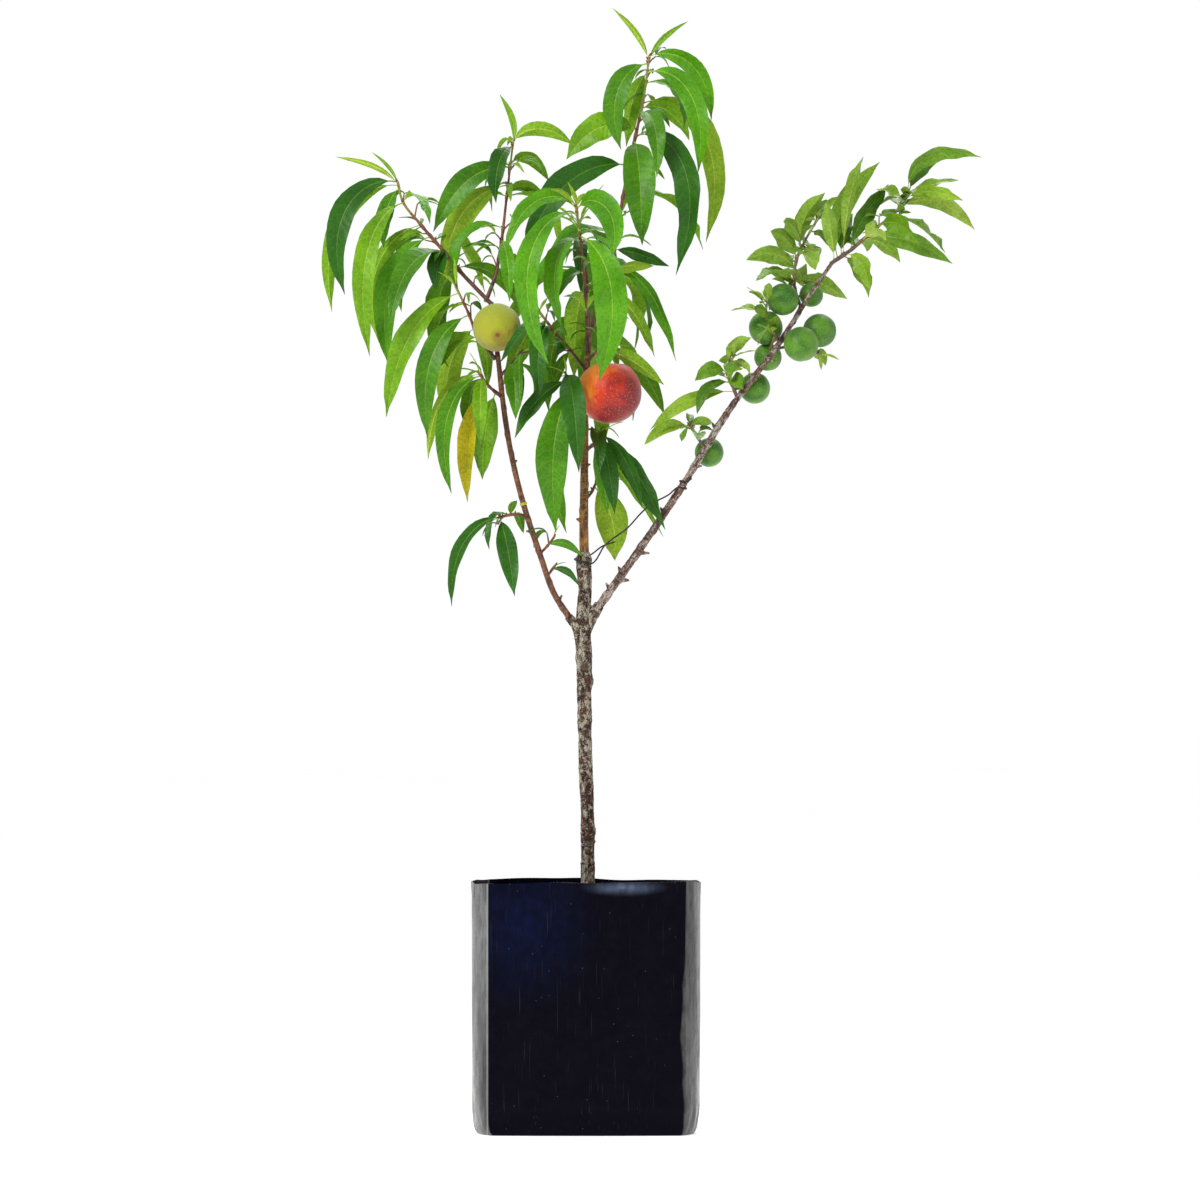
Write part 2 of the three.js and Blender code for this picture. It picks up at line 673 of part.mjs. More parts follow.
    shoots: [{
      via: [[-16, -8, 745], [-33, -16, 765], [-46, -20, 782]],
      leaves: 2, bare: 0.3, start: 90, longest: 76, young: 28,
      tips: [
        [0.95, -82, -34, 731, 40, 14, 13],
        [0.9, -80, -10, 710, 16, 26, 22],
        [0.35, -29, -34, 739, 30, 40, 12],
        [0.3, -30, -30, 707, 20, 40, 12],
        [0.7, -44, -44, 697, 12, 72, 20],
      ],
    }],
  },
  {
    name: 'foliage_centre_foot', kind: PEACH, limb: 'leader', height: 604, seed: 2, radius: 1.4,
    shoots: [{
      via: [[5, 10, 609], [8, 15, 616]],
      leaves: 1, bare: 0.3, start: 100, longest: 40, young: 18,
      tips: [
        [0.9, 27, 8, 544, 8, 24, 33],
      ],
    }],
  },
  {
    name: 'foliage_back', kind: PEACH, limb: 'leader', height: 722, seed: 9, radius: 2.1,
    shoots: [{
      via: [[2, 34, 765], [0, 60, 815], [-8, 78, 868]],
      leaves: 14, bare: 0.14, start: 300, longest: 136, young: 50,
    }],
  },
  {
    name: 'foliage_left_side', kind: PEACH, limb: 'left', height: 702, seed: 19, radius: 1.7,
    shoots: [{
      via: [[-92, -8, 709], [-102, -12, 722]],
      leaves: 1, bare: 0.25, start: 90, longest: 84, young: 22,
      tips: [
        [0.8, -101, -34, 653, 14, 62, 17],
        [0.9, -128, -30, 607, 16, 58, 19],
        [0.95, -151, 14, 640, 24, 56, 15],
        [0.4, -113, -10, 599, 14, 34, 19],
        [0.12, -99, -30, 621, 6, 8, 26],
        [0.85, -133, -14, 667, 20, 60, 12],
      ],
    }],
  },
  {
    name: 'foliage_left_inner', kind: PEACH, limb: 'left', height: 722, seed: 23, radius: 1.6,
    shoots: [{
      via: [[-71, -6, 731], [-62, -10, 742]],
      leaves: 2, bare: 0.25, start: 20, longest: 72, young: 20,
      tips: [
        [0.5, -67, -44, 678, 6, 40, 20],
        [0.9, -63, -16, 692, 30, 50, 12],
      ],
    }],
  },
  {
    name: 'foliage_left_low', kind: PEACH, limb: 'left', height: 588, seed: 6, radius: 1.5,
    shoots: [{
      via: [[-69, -8, 588], [-83, -11, 585]],
      leaves: 1, bare: 0.3, start: 90, longest: 50, young: 16,
      tips: [
        [0.8, -128, -22, 500, 16, 60, 15],
        [0.97, -68, -60, 510, 6, 12, 21],
        [0.3, -60, 10, 570, 20, 50, 11],
        [0.5, -66, -14, 601, 20, 20, 8],
      ],
    }],
  },
  {
    name: 'foliage_left_foot', kind: PEACH, limb: 'left', height: 552, seed: 10, radius: 1.3,
    shoots: [{
      via: [[-37, -8, 558], [-31, -10, 566]],
      leaves: 1, bare: 0.3, start: 10, longest: 28, young: 14,
      tips: [
        [0.5, -4, -18, 548, 16, 56, 9],
      ],
    }],
  },
  {
    name: 'foliage_left_sprig', kind: PEACH, limb: 'left', height: 531, seed: 7, radius: 1.1,
    shoots: [{
      via: [[-33, -7, 535], [-30, -8, 539]],
      leaves: 0, bare: 0.3, start: 10, longest: 30, young: 12,
      tips: [
        [0.5, -7, -17, 520, 16, 50, 8],
      ],
    }],
  },
  {
    name: 'foliage_plum_low', kind: PLUM, limb: 'right', height: 652, seed: 4, radius: 1.4,
    shoots: [{
      via: [[104, -8, 664], [97, -10, 674]],
      leaves: 3, bare: 0.25, start: 300, longest: 36, young: 22,
      tips: [
        [0.8, 55, -20, 654, 14, 44, 13],
        [0.9, 120, -14, 675, 20, 40, 10],
        [0.95, 99, 10, 683, 20, 30, 9],
      ],
    }],
    fruit: [{ name: 'plum', at: [117, 12.5, 647], radius: 13.8, share: 0.1 }],
  },
  {
    name: 'foliage_plum_middle', kind: PLUM, limb: 'right', height: 700, seed: 13, radius: 1.5,
    shoots: [{
      via: [[138, -8, 712], [133, -8, 726], [140, -9, 738]],
      leaves: 4, bare: 0.2, start: 240, longest: 40, young: 26,
      tips: [
        [0.5, 103, -20, 715, 14, 50, 15],
        [0.9, 126, 4, 734, 20, 30, 10],
        [0.8, 137, -34, 715, 20, 40, 12],
        [0.8, 157, -14, 756, 14, 60, 13],
        [0.2, 105, -14, 683, 20, 60, 12],
        [0.05, 60, -6, 668, 16, 22, 14],
      ],
    }],
    fruit: [
      { name: 'plum', at: [160.4, 12.5, 708.3], radius: 14.8, share: 0.1 },
    ],
  },
  {
    name: 'foliage_plum_left', kind: PLUM, limb: 'right', height: 752, seed: 18, radius: 1.5,
    shoots: [{
      via: [[178, -16, 764], [171, -20, 776], [172, -16, 790]],
      leaves: 5, bare: 0.16, start: 120, longest: 38, young: 24,
      tips: [
        [0.5, 159, -4, 782, 20, 40, 11],
        [0.95, 173, -12, 807, 14, 20, 10],
      ],
    }],
    fruit: [
      { name: 'plum', at: [170.9, 8, 765.7], radius: 16.2, share: 0.12 },
      { name: 'plum', at: [172.8, 15.5, 738], radius: 13.2, share: 0.2 },
    ],
  },
  {
    name: 'foliage_plum_right', kind: PLUM, limb: 'right', height: 748, seed: 3, radius: 1.5,
    shoots: [{
      via: [[196, 4, 748], [210, 8, 744], [222, 10, 740]],
      leaves: 0, bare: 0.6, start: 0, longest: 36, young: 20,
      tips: [
        [0.9, 228, 12, 730, 14, 40, 12],
      ],
    }],
    fruit: [
      { name: 'plum', at: [204.2, -16.5, 749.7], radius: 16.6, share: 0.35 },
      { name: 'plum', at: [221.9, 9, 763], radius: 16, share: 0.6 },
    ],
  },
  {
    name: 'foliage_plum_upper', kind: PLUM, limb: 'right', height: 786, seed: 16, radius: 1.5,
    shoots: [{
      via: [[198, 4, 806], [200, 8, 830], [210, 8, 852], [222, 6, 872]],
      leaves: 9, bare: 0.16, start: 90, longest: 54, young: 30,
      tips: [
        [0.6, 227, -8, 894, 12, 40, 17],
        [0.35, 152, -6, 830, 20, 66, 18],
        [0.5, 175, 6, 857, 16, 44, 19],
        [0.62, 187, -12, 866, 20, 40, 14],
        [0.2, 168, -16, 822, 30, 30, 11],
        [0.3, 249, 24, 794, 16, 30, 17],
        [0.9, 234, 30, 886, 16, 30, 14],
      ],
    }],
    fruit: [
      { name: 'plum', at: [187, -8, 792.4], radius: 15.2, share: 0.3 },
      { name: 'plum', at: [214, 13, 797], radius: 11.4, share: 0.1 },
    ],
  },
  {
    name: 'foliage_plum_tip', kind: PLUM, limb: 'right', seed: 26, radius: 1.6,
    shoots: [{
      via: [[255, -2, 842], [276.6, 0, 861], [295.3, 2, 877], [308, 3, 894]],
      leaves: 8, bare: 0.06, start: 330, longest: 70, young: 44,
      tips: [
        [0.98, 376, 4, 928, 16, 74, 15],
        [0.97, 341, 22, 934, 20, 40, 16],
        [0.9, 358, -24, 886, 30, 42, 14],
        [0.75, 370, 10, 859, 20, 58, 16],
        [0.34, 348, -20, 826, 16, 36, 19],
        [0.5, 316, -34, 842, 12, 46, 20],
        [0.35, 299, 16, 828, 20, 40, 15],
        [0.15, 269, -12, 802, 16, 50, 18],
        [0.06, 279, -20, 923, 8, 46, 19],
        [0.12, 262, -44, 926, 20, 50, 13],
        [0.2, 288, 24, 903, 12, 24, 17],
        [0.1, 250, 22, 880, 12, 30, 17],
        [0.02, 227, -26, 884, 10, 34, 15],
      ],
    }],
  },
];

function shootRows(start, shoot, radius) {
  const count = shoot.via.length;
  const line = [[start.x, start.y, start.z, radius]];
  shoot.via.forEach((place, i) => line.push([...place, radius + (TWIG_TIP - radius) * (i + 1) / count]));
  const length = point(shoot.via[count - 1]).distanceTo(start);
  return sampleLine(line, length < SPUR_LENGTH ? SPUR_STEP : TWIG_STEP);
}

// A fruit is a ball on a short stalk from its stem.
function fruitSolids(fruit, stem) {
  const [sides, rings] = fruit.name === 'peach' ? [14, 9] : [11, 7];
  const ball = new THREE.SphereGeometry(fruit.radius, sides, rings);
  ball.rotateX(Math.PI / 2);
  ball.translate(...fruit.at);
  const from = alongRows(stem, fruit.share);
  const centre = point(fruit.at);
  const inside = from.clone().lerp(centre, 0.5);
  const stalk = [from, inside, centre].map((place) => ({ centre: place, radius: FRUIT_STALK }));
  return [solidFrom(ball), tube(stalk, TWIG_SIDES)];
}

const limbs = {
  left: limbAbove(LEFT_LINE, LIMB_STEP),
  leader: limbAbove(LEADER_LINE, LIMB_STEP),
  right: limbAbove(RIGHT_LINE, LIMB_STEP),
};
const trunkRows = sampleLine(TRUNK_LINE, LIMB_STEP);
const wireRows = sampleLine([
  ...WIRE_TAIL,
  ...turnsRound(trunkRows, KNOB_TURN),
  ...WIRE_STRAND,
  ...turnsRound(limbs.right, BOUGH_TURN),
  ...WIRE_END,
].map((place) => [...place, WIRE_RADIUS]), WIRE_STEP);
addObstacle(trunkRows, 'trunk');
addObstacle(wireRows, 'tie_wire');
Object.entries(limbs).forEach(([name, rows]) => addObstacle(rows, name));

// All stems and fruit take their places first, then the leaves fill in round them.
for (const mass of MASSES) {
  const limb = limbs[mass.limb];
  const towards = point(mass.shoots[0].via[0]);
  const start = stemStart(limb, mass.height, towards, mass.radius);
  mass.rows = [];
  for (const shoot of mass.shoots) {
    const root = shoot.from === undefined ? start : alongRows(mass.rows[0], shoot.from);
    mass.rows.push(shootRows(root, shoot, mass.radius));
  }
  mass.rows.forEach((rows) => addObstacle(rows, mass.name));
  (mass.fruit ?? []).forEach((fruit) => fruits.push({ centre: point(fruit.at), radius: fruit.radius }));
}
for (const mass of MASSES) {
  mass.random = randomSource(mass.seed);
  mass.shoots.forEach((shoot, i) => leafKnownTips(shoot, mass.rows[i], mass.kind, mass.random, mass.name));
}
for (const mass of MASSES) {
  mass.shoots.forEach((shoot, i) => leafShoot(shoot, mass.rows[i], mass.kind, mass.random, mass.name));
}

function massMesh(mass) {
  const solids = mass.rows.map((rows) => tube(rows, TWIG_SIDES));
  for (const fruit of mass.fruit ?? []) solids.push(...fruitSolids(fruit, mass.rows[0]));
  for (const grown of grownLeaves) {
    if (grown.owner === mass.name) solids.push(leafSolid(grown.leaf));
  }
  return meshFrom(mass.name, fuse(solids), mass.kind.colour, 0.6);
}

// The bag: an upright tube of near-square plan, cut hollow from above

function bagShape(lower, upper, inset) {
  const levels = [lower, lower + 6, lower + BAG_TUCK, (lower + upper) / 2, upper];
  const geometry = new THREE.CylinderGeometry(1, 1, 1, BAG_SIDES, levels.length - 1);
  const position = geometry.attributes.position;
  const vertex = new THREE.Vector3();
  for (let i = 0; i < position.count; i++) {
    vertex.fromBufferAttribute(position, i);
    const height = levels[Math.round((0.5 + vertex.y) * (levels.length - 1))];
    const foot = BAG_FOOT + (1 - BAG_FOOT) * Math.min(1, Math.sqrt(height / BAG_TUCK));
    const around = Math.atan2(vertex.z, vertex.x);
    const reach = (Math.abs(Math.cos(around)) ** BAG_SQUARENESS
      + Math.abs(Math.sin(around)) ** BAG_SQUARENESS) ** (-1 / BAG_SQUARENESS);
    const spread = vertex.x === 0 && vertex.z === 0 ? 0 : reach * foot;
    const x = spread * Math.cos(around) * (BAG_WIDTH / 2 - inset);
    const y = -spread * Math.sin(around) * (BAG_DEPTH / 2 - inset);
    position.setXYZ(i, x, y, height);
  }
  return solidFrom(geometry);
}

const bagHollow = bagShape(BAG_WALL, BAG_HEIGHT + 1, BAG_WALL);
const bag = bagShape(0, BAG_HEIGHT, 0).subtract(bagHollow);
const soil = bagShape(BAG_WALL + GAP, SOIL_TOP, BAG_WALL + GAP);
const collars = [collarUnder(LEFT_LINE, LEFT_COLLAR_FOOT), collarUnder(RIGHT_LINE, RIGHT_COLLAR_FOOT)];
const trunk = fuse([tube(trunkRows, LIMB_SIDES), ...collars]);

const group = new THREE.Group();
group.add(meshFrom('planter_bag', bag, 0x14151a, 0.35));
group.add(meshFrom('potting_mix', soil, 0x3a2a1e, 0.95));
group.add(meshFrom('trunk', trunk, 0x6e5a48, 0.85));
group.add(meshFrom('bough_left', tube(limbs.left, LIMB_SIDES), 0x7a4a2c, 0.7));
group.add(meshFrom('bough_leader', tube(limbs.leader, LIMB_SIDES), 0x84532f, 0.7));
group.add(meshFrom('bough_right', tube(limbs.right, LIMB_SIDES), 0x6f6258, 0.85));
group.add(meshFrom('tie_wire', tube(wireRows, WIRE_SIDES), 0x2c2a28, 0.5));
MASSES.forEach((mass) => group.add(massMesh(mass)));

export default group;
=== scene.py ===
# Young fruit salad tree in a planter bag: one trunk with three grafted boughs,
# peach foliage on the left and centre, plum foliage on the right.
# Sizes are named in millimetres, +Z up and +Y away from the front view, and meshes are made in metres.

import math
import random
from dataclasses import dataclass, replace

import bpy
import numpy as np
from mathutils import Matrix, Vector, noise


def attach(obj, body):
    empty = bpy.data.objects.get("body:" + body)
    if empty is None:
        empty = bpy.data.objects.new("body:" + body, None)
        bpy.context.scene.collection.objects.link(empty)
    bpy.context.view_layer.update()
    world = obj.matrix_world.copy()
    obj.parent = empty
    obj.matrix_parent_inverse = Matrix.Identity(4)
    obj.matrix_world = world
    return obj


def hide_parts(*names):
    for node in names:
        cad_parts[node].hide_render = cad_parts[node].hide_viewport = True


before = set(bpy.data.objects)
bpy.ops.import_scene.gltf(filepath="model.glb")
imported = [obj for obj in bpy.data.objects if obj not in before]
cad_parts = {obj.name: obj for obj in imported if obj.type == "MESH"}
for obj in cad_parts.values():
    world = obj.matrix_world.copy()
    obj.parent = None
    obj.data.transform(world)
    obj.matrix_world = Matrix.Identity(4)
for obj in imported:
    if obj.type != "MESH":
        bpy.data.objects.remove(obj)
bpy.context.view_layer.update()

MM = 0.001
GAP = 0.3
SLANTED = [0.31, 0.9, 0.3]

# Limbs, each a list of [x, y, z, radius] from foot to tip, as in the part's source
TRUNK_FOOT = 215.3
TRUNK_LINE = [
    [1.6, 0, TRUNK_FOOT, 10.2], [1.5, 0, 223, 7.8], [1.4, 0, 240, 6.5], [1.1, 0, 278, 6.3],
    [0.8, 0, 315, 6.5], [-1.1, 0, 366, 6.5], [-2, 0, 409, 6.7], [-1.8, 0, 432, 7.5],
    [-2.4, 0, 463, 7.1], [-2.9, 0, 490, 6.6], [-1.2, 0, 519, 6.4], [-2.4, 0, 536, 6.9],
    [-2.4, 0, 545, 7.7], [-2.2, 0, 550, 6.2], [-2.2, 0, 552.5, 4.9],
]
LEFT_COLLAR_FOOT = [-3, 0, 446, 5]
RIGHT_COLLAR_FOOT = [-1, 0, 476, 5.6]
COLLAR_NECK = 12
COLLAR_SWELL = 1.25
NECK_SWELL = 1.1
LEFT_LINE = [
    [-17, 0, 491, 3.1], [-30.5, -2, 512, 2.9], [-45.2, -4, 553, 2.8], [-59.1, -5, 595, 2.8],
    [-70, -4, 638, 2.7], [-77.8, -1, 682, 2.6], [-84, 2, 735, 2.5], [-91.4, 6, 788, 2.3],
]
LEADER_LINE = [
    [-2.2, 0, 552.5, 4.6], [-2.4, 1, 595, 4.1], [-1.6, 2, 645, 3.6], [-1, 3, 700, 3.2],
    [2.4, 4, 758, 2.6],
]
RIGHT_LINE = [
    [13, 0, 502, 4.2], [33.8, -1, 531, 3.9], [54.4, -3, 560, 3.7], [90, -5, 613, 3.5],
    [135, -6, 686, 3.1], [183, -5, 750, 2.6], [212, -4, 796, 2.1], [233.7, -3, 827, 1.7],
]
WIRE_TAIL = [[27.6, 5, 562], [15.7, 6, 558]]
WIRE_STRAND = [
    [17.9, -6, 558.8], [39.3, -6, 575.3], [52.8, -7, 590], [63.1, -8, 598.5], [78, -11, 606.5],
]
WIRE_END = [[100, -13, 622]]
KNOB_TURN = {"height": 545, "start": 55, "end": 325, "climb": -8}
BOUGH_TURN = {"height": 616, "start": 245, "end": 640, "climb": 7}
WIRE_RADIUS = 0.75
WIRE_SLACK = 0.5
WIRE_TURN_STEP = 30
WIRE_STEP = 8
LIMB_STEP = 16
TWIG_STEP = 20
TWIG_TIP = 0.9
SPUR_LENGTH = 60
SPUR_STEP = 9


# Leaf kinds: breadth, stalk and fold are shares, the others degrees or millimetres
@dataclass(frozen=True)
class Kind:
    name: str
    breadth: float
    broadest: float
    young_breadth: float
    stalk: float
    fold: float
    turn: float
    lean: float
    rise: float
    droop: float
    spring: float
    bend: float
    roll: float


PEACH = Kind("peach", 0.2, 31, 0.13, 0.07, 0.35, 144, 58, 32, 112, 38, 60, 34)
PLUM = Kind("plum", 0.37, 25, 0.24, 0.12, 0.28, 144, 56, 48, 58, 55, 38, 40)
STALK_BREADTH = 0.05
BLADE_LEAN = 0.82
BLADE_FULLNESS = 0.9
DROOP_POWER = 1.7
MEAN_DROOP = 1 - 1 / (DROOP_POWER + 1)
MIDRIB_STEPS = 24
LEAST_BEND = 7
DROOP_ROUNDS = 5

# Where leaves sit on a shoot and how they vary: shares, degrees and [least, most] factors
LAST_LEAF = 0.95
SPIKE_ROOT = 0.985
TURN_JITTER = 26
RISE_JITTER = 18
SIZE_AT_FOOT = 0.72
SIZE_AT_TIP = 0.42
SIZE_GAIN = 1.9
GROWN_LENGTH = [0.86, 1.08]
DROOP_RANGE = [0.78, 1.22]
YOUNG_LEAVES = 3
YOUNG_ROOT = 0.97
YOUNG_LEAN = 24
YOUNG_RISE = 78
YOUNG_DROOP = 26
YOUNG_LENGTH = [0.8, 1.2]

# Clearances that keep each mass to its own space
CLEAR_OF_OTHERS = 5.6
CLEAR_OF_OWN = 3.2
CLEAR_OF_LIMB = 2.4
ROOT_SHARE = 0.22
LEAF_REACH = 0.62
TURNS_TRIED = [0, 28, -28, 56, -56]
DEPTHS_TRIED = [0, 12, -12, 24, -24, 38, -38, 54, -54]
SAMPLE_ROWS = 28
SAMPLE_COLUMNS = 7
BALLS_PER_ROW = 6

